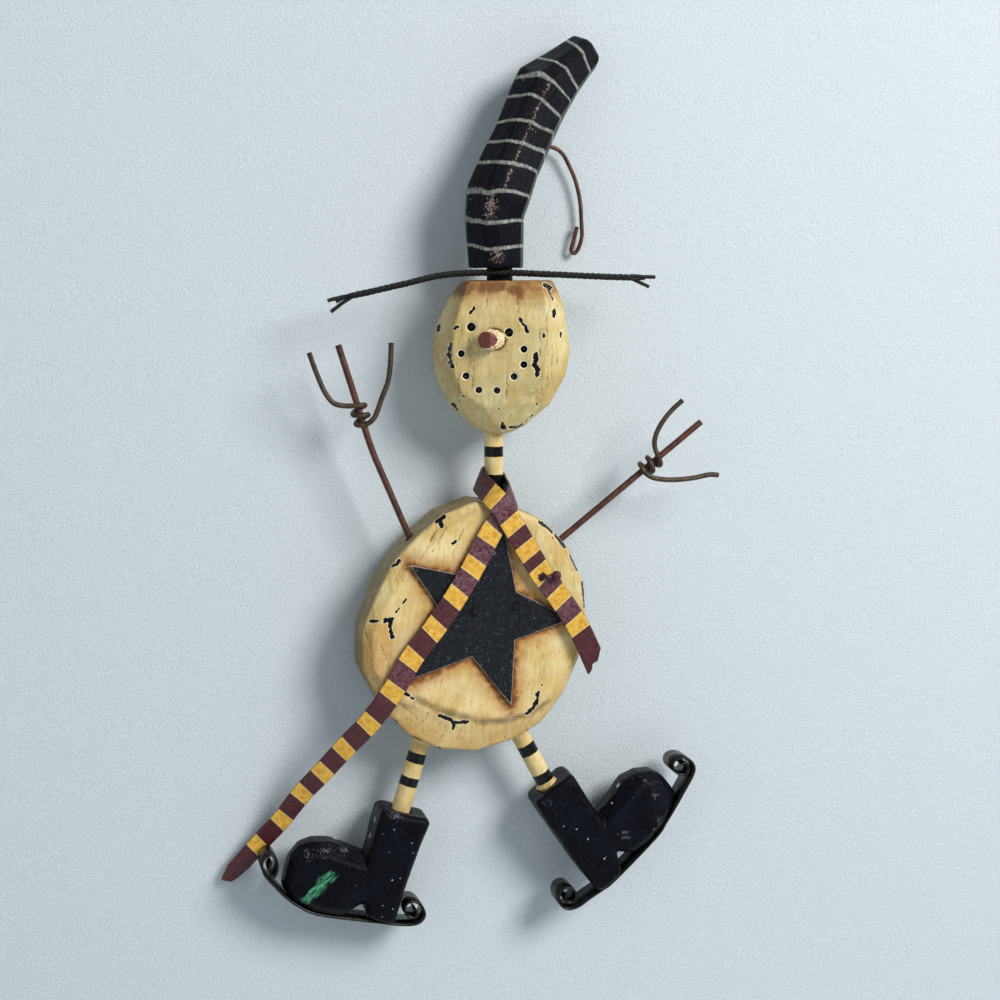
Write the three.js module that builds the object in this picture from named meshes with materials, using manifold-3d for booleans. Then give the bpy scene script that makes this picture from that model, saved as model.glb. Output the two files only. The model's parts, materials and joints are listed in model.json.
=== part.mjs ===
// A folk art snowman ornament: whittled wood, dowels, bent wire and painted tin strip, hung by a wire hook.
// Millimetres, +Z up. The face looks towards -Y, and left and right are as seen from the front.
// Everything is laid out from the middle of the body. The whole figure is then moved, so that the
// underside of the hook's arch, which rests on a twig, is at the origin.

import * as THREE from "three";
import { mergeVertices } from "three/addons/utils/BufferGeometryUtils.js";
import Module from "manifold-3d";

const wasm = await Module();
wasm.setup();

// Clearance between pieces that touch
const seat = 0.3;

// Stock that the pieces are cut from
const dowelDiameter = 4.76;
const pegDiameter = 6.35;
const armWireDiameter = 1.63;
const handWireDiameter = 1.29;
const hookWireDiameter = 1.02;
const brimCordDiameter = 1.6;
const brimStrandDiameter = 1.05;
const scarfThickness = 0.5;
const starThickness = 0.6;
const bladeThickness = 0.6;

// Brads
const bradDiameter = 1.0;
const bradHeadDiameter = 2.1;
const bradHeadHeight = 0.55;
const bradLength = 5.5;

// Body: a whittled slab, nearly round
const bodyWidth = 56.2;
const bodyHeight = 61.7;
const bodyThickness = 16;
const bodyCentreX = -0.4;
const bodyCentreZ = 0.25;
const bodyFrontCutDepth = 2.2;
const bodyBackCut = 1.2;
// How far out each corner of the slab was left by the knife, every 18 degrees from the right
const bodyWhittle = [
  1.02, 1.04, 1.045, 1.035, 1.015, 1, 0.95, 0.9, 0.9, 0.92,
  1, 1.05, 1.045, 1.05, 1.045, 1.03, 1.005, 1.02, 1, 0.99,
];
// Width of the slanted cut round the front face at the same corners
const bodyFrontCuts = [1, 1, 1.2, 1.5, 1.8, 2, 3, 4, 4, 3, 2.5, 2.5, 3.5, 7.2, 9, 8, 6, 4.4, 2.8, 1.4];

// Neck
const neckX = 5.7;
const neckLength = 17.2;
const socketDepth = 9;

// Head, turned a little to the left on the neck
const headYaw = THREE.MathUtils.degToRad(-15);
const headHeight = 37.4;
const headWidth = 33.6;
const headThickness = 22;
// Share of the height; then middle, half width, half thickness and half of the front flat, as shares
// of the full width or thickness
const headSections = [
  [0, 0.028, 0.092, 0.18, 0.06],
  [0.06, 0.034, 0.205, 0.3, 0.125],
  [0.195, 0.043, 0.366, 0.42, 0.23],
  [0.39, 0.052, 0.476, 0.49, 0.32],
  [0.55, 0.058, 0.5, 0.5, 0.34],
  [0.71, 0.061, 0.473, 0.495, 0.333],
  [0.86, 0.083, 0.42, 0.464, 0.306],
  [0.973, 0.098, 0.345, 0.41, 0.274],
  [1, 0.101, 0.321, 0.373, 0.256],
];

// Face: drilled dots and a broken peg nose, placed from the neck's axis and the head's underside
const eyeDiameter = 2;
const eyeDepth = 1.6;
const eyes = [
  [-5, 26.4],
  [4.1, 25.1],
];
const mouthDotDiameter = 1.6;
const mouthDotDepth = 1.2;
const mouthDots = [
  [-7.4, 20],
  [-6.3, 14.6],
  [-3.2, 11.2],
  [1.2, 11.1],
  [5.3, 14.5],
  [7.7, 17.4],
  [7.7, 21.1],
];
const noseAt = [0.4, 23.4];
const noseBaseDiameter = 5.4;
const noseTipDiameter = 4.3;
const noseReach = 4.4;
const noseSocketDepth = 4;
const noseLean = THREE.MathUtils.degToRad(22);
const noseChip = 1.3;

// Hat
const pegX = 7.2;
const crownLift = 3.1;
// Middle of each whittled bend from the middle of the crown's foot, and its half width there
const crownFootX = 6.1;
const crownBends = [
  { x: 0, y: 0, z: 0, half: 7.2 },
  { x: -0.3, y: 0, z: 12.3, half: 7.7 },
  { x: 0.6, y: 0.4, z: 17.3, half: 8.4 },
  { x: 3.6, y: 1.2, z: 24.5, half: 8 },
  { x: 6.5, y: 2.2, z: 30.1, half: 7.7 },
  { x: 9.1, y: 3.4, z: 35.5, half: 7.8 },
  { x: 11, y: 4.3, z: 39.2, half: 8 },
  { x: 13, y: 5.3, z: 43, half: 8.4 },
  { x: 18.9, y: 7.2, z: 48.3, half: 6.4 },
  { x: 24.7, y: 9, z: 53.4, half: 5 },
  { x: 25.5, y: 9.3, z: 54.1, half: 4 },
];
// Directions of the crown's eight edges round its middle, in degrees from the right towards the front
const crownEdges = [-5, 43, 96, 122, 167, 215, 262, 308];
// Brim cord: its bends from the peg's axis, and the height above its middle
const brimBends = [
  [-38.5, -5.7],
  [-34.6, -4.9],
  [-25.1, -2.8],
  [-15, -0.6],
  [-2.1, 0],
  [12.7, -0.5],
  [26.2, -1.1],
  [33.1, -1.3],
];
const brimLeftTips = [
  [-43.2, -6.6],
  [-42.4, -9.3],
];
const brimRightTips = [
  [38.5, -1.2],
  [37, -3.6],
];

// Hanging hook: where it leaves the crown's back, and its bends to the side of that hole
const hookHoleX = 8.5;
const hookHoleZ = 28.4;
const hookHoleDepth = 5;
const hookStandOff = 2.2;
const hookBends = [
  [2.6, 0.9],
  [6, 1.7],
  [9.2, 1.5],
  [11.5, 0.1],
  [13.2, -2.7],
  [15, -6.7],
  [16.2, -11.7],
  [16.6, -17],
  [16.7, -20.8],
  [15.7, -23.9],
  [14.7, -24.9],
  [14, -24],
  [14.3, -22.3],
  [15.2, -18.2],
];

// Arms: a point inside the body on each wire's line, its direction, length and bend
const arms = {
  left: {
    from: [-5.5, -2],
    heading: 112.9,
    lower: 23.4,
    upper: 27,
    bend: 5.5,
    coilAt: 11.7,
    upperFinger: [
      [-7.5, 27.6],
      [-7.3, 22],
      [-6.7, 16.9],
      [-5.6, 14.2],
      [-3.7, 12.9],
    ],
    lowerFinger: [
      [2.4, 7.4],
      [4, 9],
      [5.8, 11.4],
      [8.6, 14.9],
      [10.4, 18.6],
      [12.3, 23.7],
    ],
  },
  right: {
    from: [1.3, 3.3],
    heading: 38.2,
    lower: 30.2,
    upper: 16.9,
    bend: 0,
    coilAt: 2.3,
    upperFinger: [
      [-7.9, 16.1],
      [-7.7, 12.6],
      [-7, 9],
      [-5.5, 5.5],
      [-3.6, 3.5],
    ],
    lowerFinger: [
      [2.4, -2],
      [4.7, -0.1],
      [7.1, 2.7],
      [9.7, 6.6],
      [11.7, 10.3],
      [13.2, 11.9],
    ],
  },
};
const armSocketDepth = 10;
const coilPitch = 2.5;
const coilTurns = 2;

// Legs: a point inside the body on each dowel's line, its direction and the length that shows
const legs = {
  left: { from: [-4.9, -3.2], heading: 252.9, length: 18.8 },
  right: { from: [0.2, -6.2], heading: 298, length: 17 },
};

// Boots, from the middle of the shaft's top: u runs to the toe and v down the shaft.
// back and front are the shaft's half widths at its top, middle and foot, and legAt is where the leg goes
// in. The toe's top rises by toeRise from the shaft, and its arch ends at archEnd. rearRoll and frontRoll
// are the bends of the skate blade behind and before its runner.
const boots = {
  left: {
    tilt: 16,
    legAt: 0.8,
    heelDrop: 27.8,
    toeDrop: 29,
    toeLength: 25.2,
    toeTop: 11.6,
    toeRise: 0.8,
    archLift: 5.4,
    archEnd: 8.8,
    back: [6.4, 4.8, 4.2],
    front: [6.8, 6.4, 2.6],
    rearRoll: [
      [-8.9, 23.5],
      [-9.8, 24.3],
      [-9.5, 25.3],
      [-8.3, 25.6],
      [-6.8, 24.9],
      [-6.2, 23.2],
      [-7, 21.8],
      [-8.7, 21.5],
      [-10.6, 22.5],
      [-11.7, 24.4],
      [-10.9, 26.4],
      [-8.6, 27.5],
      [-5, 28.1],
    ],
    frontRoll: [
      [19.9, 28.6],
      [24.1, 26.8],
      [27.1, 24.9],
      [29.9, 23],
      [31.3, 21.3],
      [31.8, 19.5],
      [31.3, 17.9],
      [30.1, 17.4],
      [28.8, 18.1],
      [28, 19.5],
      [27.7, 21.3],
      [28, 22.7],
      [28.9, 22.4],
      [29.6, 21.3],
      [29.9, 20.2],
      [29.6, 19.2],
    ],
  },
  right: {
    tilt: -36,
    legAt: 0,
    heelDrop: 29.9,
    toeDrop: 27.8,
    toeLength: 25,
    toeTop: 11.5,
    toeRise: 2.2,
    archLift: 3.9,
    archEnd: 7,
    back: [5.7, 6.5, 6.1],
    front: [6.6, 5.4, 1.9],
    rearRoll: [
      [-13.2, 25.5],
      [-14.1, 26.4],
      [-13.7, 27.6],
      [-12.4, 28.2],
      [-11.2, 27.5],
      [-10.9, 25.8],
      [-11.6, 24.2],
      [-13.2, 23.5],
      [-14.9, 24.4],
      [-15.8, 26.5],
      [-15, 28.7],
      [-12.5, 29.9],
      [-8.9, 30.1],
      [-5.1, 30.4],
    ],
    frontRoll: [
      [18.4, 26.9],
      [23.6, 24.8],
      [27.4, 23.1],
      [30.9, 21.5],
      [32.6, 20.1],
      [32.9, 17.9],
      [31.7, 15.9],
      [29.8, 15.1],
      [28.4, 15.9],
      [28.1, 17.7],
      [28.9, 19.4],
      [30.3, 20],
      [31.5, 19],
      [31.4, 17.5],
      [30.4, 16.9],
    ],
  },
};
const bootThickness = 12;
const shaftEdgeCut = 1.1;
const soleEdgeCut = 2;
const bootBradU = [-1, 14];

// Skate blades
const bladeWidth = 8;

// Star, from the middle of the body: tips and the corners between them, in turn
const starCorners = [
  [6, 26.3],
  [-5.8, 13.9],
  [-17.3, 16.5],
  [-10.7, 6.4],
  [-16.6, -11.7],
  [-1.8, -6.9],
  [8.2, -19.7],
  [9.1, -3.2],
  [23.6, 1.5],
  [9.5, 8.9],
];
const starBrads = { left: [-1.2, 4.4], right: [9.4, 5.2] };

// Scarf
const scarfWidth = 5.6;
const scarfTipWidth = 4.6;
const scarfNarrowsFrom = 0.75;
const scarfFaces = -90;
const scarfBradAt = [15.6, 12.6];
const scarfBradBend = 3.3;
// Middle of the short tail from its tip to the body's top, on the long tail
const scarfShortTail = [
  [30.1, -11.5],
  [24.7, 0],
  [18.8, 9],
  [15.5, 13.4],
  [11.3, 20.4],
  [8, 26],
  [4.8, 31],
];
// The turn round the neck: the place from the neck's axis, the height over the neck's foot, where the
// painted side looks, in degrees from the right, and how far it looks up
const scarfTurn = [
  { x: -3.1, y: -6.6, z: 3.5, faces: -118, looksUp: 12 },
  { x: -4.2, y: -1.5, z: 5.5, faces: -172, looksUp: 22 },
  { x: -2.7, y: 3, z: 5.9, faces: -222, looksUp: 22 },
  { x: 0.2, y: 4.4, z: 5.5, faces: -270, looksUp: 22 },
  { x: 2.9, y: 2.8, z: 4.7, faces: -322, looksUp: 20 },
  { x: 3.7, y: -1.6, z: 3.4, faces: -368, looksUp: 20 },
  { x: 3.2, y: -6.4, z: 1.9, faces: -404, looksUp: 10 },
  { x: 1.2, y: -9.1, z: -1.2, faces: -438, looksUp: 0 },
];
// Middle of the long tail from the neck to its tip: along the star, and then bent back past the body
const scarfOnStar = [
  [3.2, 24.4],
  [-0.7, 17.1],
  [-5, 9.8],
  [-10.4, 1.9],
  [-16.9, -6.4],
];
const scarfLongTail = [
  [-21.9, -9.2, -14.8],
  [-27.3, -7, -22.7],
  [-33.1, -4.6, -29.3],
  [-38.1, -1.8, -35.6],
  [-42.9, 1.1, -41.5],
  [-47.7, 3.8, -48.5],
  [-53.6, 5.9, -55.4],
  [-61.8, 6.8, -64.5],
];
// The tails' snipped ends, from one edge to the other: how far past the tip, and how far across
const scarfShortEnd = [
  [-4.9, -2.7],
  [-2.4, -0.9],
  [-2.2, 1.4],
  [-1.1, 1.1],
  [0, 3.2],
];
const scarfLongEnd = [
  [-6.9, -2.4],
  [-2.5, -1.7],
  [-1.3, -1.2],
  [-0.3, -1.2],
  [0.3, 1.2],
  [-3.7, 2.2],
];

const wood = (color, roughness = 0.75) => new THREE.MeshStandardMaterial({ color, roughness, metalness: 0 });
const metal = (color, roughness = 0.5) =>
  new THREE.MeshStandardMaterial({ color, roughness, metalness: 0.7 });
const paints = {
  cream: wood(0xdcc183),
  black: wood(0x14161f, 0.5),
  rust: wood(0x6b2f22),
  cord: wood(0x101014),
  tin: metal(0x4a1a20, 0.45),
  star: metal(0x1b2028, 0.6),
  wire: metal(0x6b4433),
  blade: metal(0x15151a),
};

const degrees = THREE.MathUtils.degToRad;
const axisY = new THREE.Vector3(0, 1, 0);
const axisZ = new THREE.Vector3(0, 0, 1);
const frontY = -bodyThickness / 2;

// A closed surface through rings of equal counts of points, with a flat fan over the first and the last.
function loft(rings) {
  const count = rings[0].length;
  const positions = rings.flat().flatMap((p) => p.toArray());
  const index = [];
  for (let i = 0; i + 1 < rings.length; i++) {
    for (let j = 0; j < count; j++) {
      const next = (j + 1) % count;
      const [a, b, c, d] = [i * count + j, i * count + next, (i + 1) * count + next, (i + 1) * count + j];
      index.push(a, b, c, a, c, d);
    }
  }
  const last = (rings.length - 1) * count;
  for (let j = 1; j + 1 < count; j++) {
    index.push(0, j + 1, j, last, last + j, last + j + 1);
  }
  const geometry = new THREE.BufferGeometry();
  geometry.setAttribute("position", new THREE.Float32BufferAttribute(positions, 3));
  geometry.setIndex(index);
  return facingOut(geometry);
}

// Turns every triangle round if the surface encloses a negative volume.
function facingOut(geometry) {
  const index = geometry.getIndex();
  const position = geometry.getAttribute("position");
  const corner = (i) => new THREE.Vector3().fromBufferAttribute(position, index.getX(i));
  let volume = 0;
  for (let i = 0; i < index.count; i += 3) {
    volume += corner(i).dot(corner(i + 1).cross(corner(i + 2)));
  }
  if (volume < 0) {
    const turned = Array.from(index.array);
    for (let i = 0; i < turned.length; i += 3) {
      [turned[i + 1], turned[i + 2]] = [turned[i + 2], turned[i + 1]];
    }
    geometry.setIndex(turned);
  }
  return geometry;
}

function toSolid(geometry) {
  const bare = geometry.clone();
  for (const name of Object.keys(bare.attributes)) {
    if (name !== "position") bare.deleteAttribute(name);
  }
  const merged = mergeVertices(bare, 1e-4);
  const mesh = new wasm.Mesh({
    numProp: 3,
    vertProperties: merged.getAttribute("position").array,
    triVerts: new Uint32Array(merged.getIndex().array),
  });
  return new wasm.Manifold(mesh);
}

function toGeometry(solid) {
  const mesh = solid.getMesh();
  const geometry = new THREE.BufferGeometry();
  geometry.setAttribute("position", new THREE.BufferAttribute(mesh.vertProperties, 3));
  geometry.setIndex(new THREE.BufferAttribute(mesh.triVerts, 1));
  return geometry;
}

const cut = (geometry, ...tools) =>
  toGeometry(tools.reduce((solid, tool) => solid.subtract(toSolid(tool)), toSolid(geometry)));
const join = (geometry, ...others) =>
  toGeometry(others.reduce((solid, other) => solid.add(toSolid(other)), toSolid(geometry)));

// A round bar from one point to another; toDiameter tapers it.
function bar(from, to, diameter, toDiameter = diameter, sides = 24) {
  const along = to.clone().sub(from);
  const geometry = new THREE.CylinderGeometry(toDiameter / 2, diameter / 2, along.length(), sides);
  geometry.translate(0, along.length() / 2, 0);
  geometry.applyQuaternion(new THREE.Quaternion().setFromUnitVectors(axisY, along.clone().normalize()));
  return geometry.translate(from.x, from.y, from.z);
}

// A wire bent along a curve.
function wire(curve, diameter, steps, sides = 8) {
  const section = [];
  for (let i = 0; i < sides; i++) {
    const turn = (2 * Math.PI * (i + 0.5)) / sides;
    section.push(new THREE.Vector2(Math.cos(turn), Math.sin(turn)).multiplyScalar(diameter / 2));
  }
  const options = { steps, bevelEnabled: false, extrudePath: curve };
  return new THREE.ExtrudeGeometry(new THREE.Shape(section), options);
}

// A flat piece cut from sheet, standing in the XZ plane with its back at y = 0 and its front towards -Y.
function sheet(points, thickness) {
  const shape = new THREE.Shape(points.map(([x, z]) => new THREE.Vector2(x, z)));
  const geometry = new THREE.ExtrudeGeometry(shape, { depth: thickness, bevelEnabled: false });
  return geometry.rotateX(Math.PI / 2);
}

function piece(name, geometry, material) {
  const mesh = new THREE.Mesh(geometry, material);
  mesh.name = name;
  return mesh;
}

const flat = (x, z, y = 0) => new THREE.Vector3(x, y, z);
const heading = (angle) => flat(Math.cos(degrees(angle)), Math.sin(degrees(angle)));

// Body

function bodyCorner(k, inset = 0) {
  const turn = (2 * Math.PI * k) / bodyWhittle.length;
  const x = (bodyWidth / 2) * bodyWhittle[k] * Math.cos(turn);
  const z = (bodyHeight / 2) * bodyWhittle[k] * Math.sin(turn);
  const shrink = 1 - inset / Math.hypot(x, z);
  return [bodyCentreX + x * shrink, bodyCentreZ + z * shrink];
}

// Where a line from a point inside the body leaves its rim, as [x, z].
function rimPoint([x, z], direction) {
  let best = Infinity;
  for (let k = 0; k < bodyWhittle.length; k++) {
    const [ax, az] = bodyCorner(k);
    const [bx, bz] = bodyCorner((k + 1) % bodyWhittle.length);
    const [ex, ez] = [bx - ax, bz - az];
    const cross = direction.x * ez - direction.z * ex;
    const along = ((ax - x) * ez - (az - z) * ex) / cross;
    const share = ((ax - x) * direction.z - (az - z) * direction.x) / cross;
    if (share >= 0 && share <= 1 && along > 0) best = Math.min(best, along);
  }
  return flat(x + direction.x * best, z + direction.z * best);
}

function bodySlab() {
  const ring = (y, inset) => bodyWhittle.map((_, k) => {
    const [x, z] = bodyCorner(k, inset(k));
    return flat(x, z, y);
  });
  const back = -frontY;
  return loft([
    ring(back, () => bodyBackCut),
    ring(back - bodyBackCut, () => 0),
    ring(frontY + bodyFrontCutDepth, () => 0),
    ring(frontY, (k) => bodyFrontCuts[k]),
  ]);
}

// A drilled socket: it starts outside the wood, at a rim point, and runs in against the direction.
const socket = (mouth, direction, depth, diameter) =>
  bar(
    mouth.clone().addScaledVector(direction, 3),
    mouth.clone().addScaledVector(direction, -depth),
    diameter + 2 * seat,
  );

const up = new THREE.Vector3(0, 0, 1);
const neckFoot = rimPoint([neckX, 0], up);
const headFootZ = neckFoot.z + neckLength;
const limbs = {};
for (const [side, arm] of Object.entries(arms)) {
  const direction = heading(arm.heading);
  limbs[side + "Arm"] = { direction, rim: rimPoint(arm.from, direction) };
}
for (const [side, leg] of Object.entries(legs)) {
  const direction = heading(leg.heading);
  limbs[side + "Leg"] = { direction, rim: rimPoint(leg.from, direction) };
}

// Brads: a shank into the wood from the front, under a domed head

function brad(x, z, seatY) {
  const shank = bar(flat(x, z, seatY + bradLength), flat(x, z, seatY - 0.1), bradDiameter, bradDiameter, 12);
  const head = bar(
    flat(x, z, seatY),
    flat(x, z, seatY - bradHeadHeight),
    bradHeadDiameter,
    bradHeadDiameter * 0.6,
    14,
  );
  return join(shank, head);
}

const bradHole = (x, z) =>
  bar(flat(x, z, frontY + bradLength + seat), flat(x, z, frontY - 8), bradDiameter + 2 * seat, undefined, 12);

// Star and scarf lie on each other over the front of the body

const starBackY = frontY - seat;
const starFrontY = starBackY - starThickness;
const longTailY = starFrontY - seat - scarfThickness / 2;
const shortTailY = longTailY - scarfThickness - seat;
const bradSeatOnStarY = starFrontY - seat;
const bradSeatOnScarfY = shortTailY - scarfThickness / 2 - seat;

function star() {
  const blank = sheet(starCorners, starThickness).translate(0, starBackY, 0);
  return cut(blank, ...Object.values(starBrads).map(([x, z]) => bradHole(x, z)));
}

// The scarf's stops from the tip of the short tail, round the neck, to the tip of the long one, with
// where its painted side looks. It turns once round the neck.
function scarfStops() {
  const onNeck = ({ x, y, z, ...sides }) => ({ at: [neckX + x, y, neckFoot.z + z], ...sides });
  const [before, after] = [scarfFaces, scarfFaces - 360];
  return [
    ...scarfShortTail.map(([x, z]) => ({ at: [x, shortTailY, z], faces: before })),
    ...scarfTurn.map(onNeck),
    ...scarfOnStar.map(([x, z]) => ({ at: [x, longTailY, z], faces: after })),
    ...scarfLongTail.map((at) => ({ at, faces: after })),
  ];
}

function scarf() {
  const stops = scarfStops();
  const path = new THREE.CatmullRomCurve3(stops.map(({ at }) => new THREE.Vector3(...at)));
  const steps = 90;
  const rings = [];
  for (let i = 0; i <= steps; i++) {
    const t = i / steps;
    const middle = path.getPoint(t);
    const along = path.getTangent(t);
    const place = t * (stops.length - 1);
    const before = Math.min(Math.floor(place), stops.length - 2);
    const between = (a = 0, b = 0) => degrees(THREE.MathUtils.lerp(a, b, place - before));
    const faces = between(stops[before].faces, stops[before + 1].faces);
    const looksUp = between(stops[before].looksUp, stops[before + 1].looksUp);
    const out = new THREE.Vector3(Math.cos(faces), Math.sin(faces), Math.tan(looksUp));
    const across = new THREE.Vector3().crossVectors(out, along).normalize();
    out.crossVectors(along, across).normalize();
    const narrowed = THREE.MathUtils.smoothstep(t, scarfNarrowsFrom, 1);
    const width = THREE.MathUtils.lerp(scarfWidth, scarfTipWidth, narrowed);
    const corner = (a, b) =>
      middle.clone().addScaledVector(across, (a * width) / 2).addScaledVector(out, (b * scarfThickness) / 2);
    rings.push([corner(-1, -1), corner(1, -1), corner(1, 1), corner(-1, 1)]);
  }
  const hole = bar(
    flat(...scarfBradAt, shortTailY + 1.2),
    flat(...scarfBradAt, shortTailY - 2),
    bradDiameter + 2 * seat,
    undefined,
    12,
  );
  return cut(loft(rings), hole, scarfEndCut(path, 0, scarfShortEnd), scarfEndCut(path, 1, scarfLongEnd));
}

// All that is snipped off past the outline of a tail's end.
function scarfEndCut(path, t, outline) {
  const end = path.getPoint(t);
  const along = path.getTangent(t).setY(0).normalize();
  if (t === 0) along.negate();
  const side = flat(along.z, -along.x);
  const [first, last] = [outline[0], outline[outline.length - 1]];
  const [past, wide] = [scarfWidth / 2, scarfWidth];
  const waste = [[first[0], -wide], ...outline, [last[0], wide], [past, wide], [past, -wide]];
  const corners = waste.map(([a, b]) => end.clone().addScaledVector(along, a).addScaledVector(side, b));
  return sheet(corners.map(({ x, z }) => [x, z]), scarfWidth).translate(0, end.y + scarfWidth / 2, 0);
}

// The brad that pins the short tail was hammered over: its head end lies across the strip.
function scarfBrad() {
  const [x, z] = scarfBradAt;
  const bendY = bradSeatOnScarfY - bradDiameter / 2;
  const shank = new THREE.CatmullRomCurve3([
    flat(x, z, frontY + bradLength),
    flat(x, z, frontY),
    flat(x, z, bendY + 0.9),
    flat(x + 0.35, z, bendY + 0.2),
    flat(x + 1.1, z + 0.1, bendY),
    flat(x + scarfBradBend, z + 0.4, bendY - 0.1),
  ]);
  const knob = new THREE.SphereGeometry(bradHeadDiameter * 0.6, 12, 8);
  knob.scale(1, 0.8, 1).translate(x + scarfBradBend, bendY - 0.4, z + 0.4);
  return join(wire(shank, bradDiameter, 40), knob);
}

// Head

function headBlock() {
  const rings = headSections.map(([h, middle, half, deep, front]) => {
    const cx = middle * headWidth;
    const [a, b, f] = [half * headWidth, deep * headThickness, front * headWidth];
    const cheek = b * 0.5;
    const corners = [[a, -cheek], [f, -b], [-f, -b], [-a, -cheek], [-a, cheek], [-f, b], [f, b], [a, cheek]];
    return corners.map(([x, y]) => new THREE.Vector3(cx + x, y, h * headHeight));
  });
  return loft(rings);
}

// The head in its own frame: the neck's axis is upright through its origin, at its underside.
function head() {
  const face = -headThickness / 2;
  const dot = ([x, z], diameter, depth) =>
    bar(flat(x, z, face + depth), flat(x, z, face - 4), diameter, undefined, 12);
  const neckSocket = socket(flat(0, 0), new THREE.Vector3(0, 0, -1), socketDepth, dowelDiameter);
  const pegSocket = socket(pegFoot(), up, socketDepth, pegDiameter);
  const [noseRoot, noseOut] = noseLine();
  const noseSocket = bar(
    noseRoot.clone().addScaledVector(noseOut, -noseSocketDepth),
    noseRoot.clone().addScaledVector(noseOut, 4),
    dowelDiameter + 2 * seat,
  );
  return cut(
    headBlock(),
    neckSocket,
    pegSocket,
    noseSocket,
    ...eyes.map((at) => dot(at, eyeDiameter, eyeDepth)),
    ...mouthDots.map((at) => dot(at, mouthDotDiameter, mouthDotDepth)),
  );
}

// The peg's foot on top of the head, seen from the turned head.
const pegFoot = () => new THREE.Vector3(pegX - neckX, 0, headHeight).applyAxisAngle(axisZ, -headYaw);

// The nose's root on the face and its direction.
const noseLine = () => [
  flat(...noseAt, -headThickness / 2),
  new THREE.Vector3(-Math.sin(noseLean), -Math.cos(noseLean), 0),
];

// A tapered peg on a shank, with its painted skin split off one side where it broke.
function nose() {
  const [root, out] = noseLine();
  const at = (distance) => root.clone().addScaledVector(out, distance);
  const shoulder = seat + (Math.tan(noseLean) * noseBaseDiameter) / 2;
  const stub = bar(at(shoulder), at(noseReach), noseBaseDiameter, noseTipDiameter, 16);
  const shank = bar(at(seat - noseSocketDepth), at(shoulder + 0.5), dowelDiameter, undefined, 16);
  const right = new THREE.Vector3(-out.y, out.x, 0);
  const chipAt = (distance, side) => at(distance).addScaledVector(right, side);
  const outline = [
    chipAt(shoulder + 0.8, noseBaseDiameter),
    chipAt(shoulder + 0.8, noseBaseDiameter / 2 - 0.2),
    chipAt(noseReach + 1, noseTipDiameter / 2 - noseChip - 0.4),
    chipAt(noseReach + 1, noseBaseDiameter),
  ];
  const ring = (z) => outline.map((p) => p.clone().add(flat(0, z)));
  return cut(join(stub, shank), loft([ring(-4), ring(4)]));
}

// Hat

const crownFootZ = headFootZ + headHeight + crownLift;
const brimZ = crownFootZ - seat - brimCordDiameter / 2;
const brimY = -(pegDiameter + brimCordDiameter) / 2 - seat;

// Eight corners round one bend of the crown, square to its run.
function crownSection(k) {
  const point = ({ x, y, z }) => new THREE.Vector3(x, y, z);
  const last = crownBends.length - 1;
  const along = point(crownBends[Math.min(k + 1, last)]).sub(point(crownBends[Math.max(k - 1, 0)]));
  if (k === 0) along.set(0, 0, 1);
  along.normalize();
  const deep = axisY.clone().addScaledVector(along, -along.y).normalize();
  const side = new THREE.Vector3().crossVectors(deep, along);
  const { half } = crownBends[k];
  return crownEdges.map((edge) =>
    point(crownBends[k])
      .addScaledVector(side, half * Math.cos(degrees(edge)))
      .addScaledVector(deep, -half * Math.sin(degrees(edge))),
  );
}

// Middle and half thickness of the crown where the hook's hole is drilled.
function crownBackY() {
  const above = crownBends.findIndex(({ z }) => z > hookHoleZ);
  const [a, b] = [crownBends[above - 1], crownBends[above]];
  const share = (hookHoleZ - a.z) / (b.z - a.z);
  return THREE.MathUtils.lerp(a.y + a.half, b.y + b.half, share);
}

// The crown in its own frame: the origin is at the middle of its foot.
function crown() {
  const rings = crownBends.map((_, k) => crownSection(k));
  const pegSocket = socket(flat(pegX - crownFootX, 0), new THREE.Vector3(0, 0, -1), socketDepth, pegDiameter);
  const hookHole = bar(
    flat(hookHoleX, hookHoleZ, crownBackY() - hookHoleDepth),
    flat(hookHoleX, hookHoleZ, crownBackY() + 3),
    hookWireDiameter + 2 * seat,
    undefined,
    12,
  );
  return cut(loft(rings), pegSocket, hookHole);
}

// The brim in its own frame: the origin is on the peg's axis, level with the cord's middle.
function brim() {
  const cord = new THREE.CatmullRomCurve3(brimBends.map(([x, z]) => flat(x, z)));
  const strand = (from, [x, z], outwards) =>
    bar(flat(from[0] + outwards, from[1]), flat(x, z), brimStrandDiameter, undefined, 8);
  const tips = [
    ...brimLeftTips.map((tip) => strand(brimBends[0], tip, 1)),
    ...brimRightTips.map((tip) => strand(brimBends[brimBends.length - 1], tip, -1)),
  ];
  return join(wire(cord, brimCordDiameter, 48), ...tips);
}

// The hook in its own frame: the origin is at the mouth of its hole, and +Y is out of the crown's back.
function hookCurve() {
  return new THREE.CatmullRomCurve3([
    flat(0, 0, seat - hookHoleDepth),
    flat(0, 0, -hookHoleDepth / 2),
    flat(0, 0, hookStandOff * 0.35),
    flat(0.7, 0.3, hookStandOff * 0.85),
    ...hookBends.map(([x, z]) => flat(x, z, hookStandOff)),
  ]);
}

// Hands: one wire that comes down as a finger, winds round the arm and goes up again as the other finger

function handCurve(arm) {
  const radius = (armWireDiameter + handWireDiameter) / 2 + seat;
  const points = arm.upperFinger.map(([x, z]) => flat(x, z, -radius));
  const stepsPerTurn = 16;
  for (let i = 0; i <= coilTurns * stepsPerTurn; i++) {
    const turn = (2 * Math.PI * i) / stepsPerTurn;
    const z = arm.coilAt - (coilPitch * i) / stepsPerTurn;
    points.push(flat(radius * Math.sin(turn), z, -radius * Math.cos(turn)));
  }
  points.push(...arm.lowerFinger.map(([x, z]) => flat(x, z, -radius)));
  return new THREE.CatmullRomCurve3(points);
}

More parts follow.
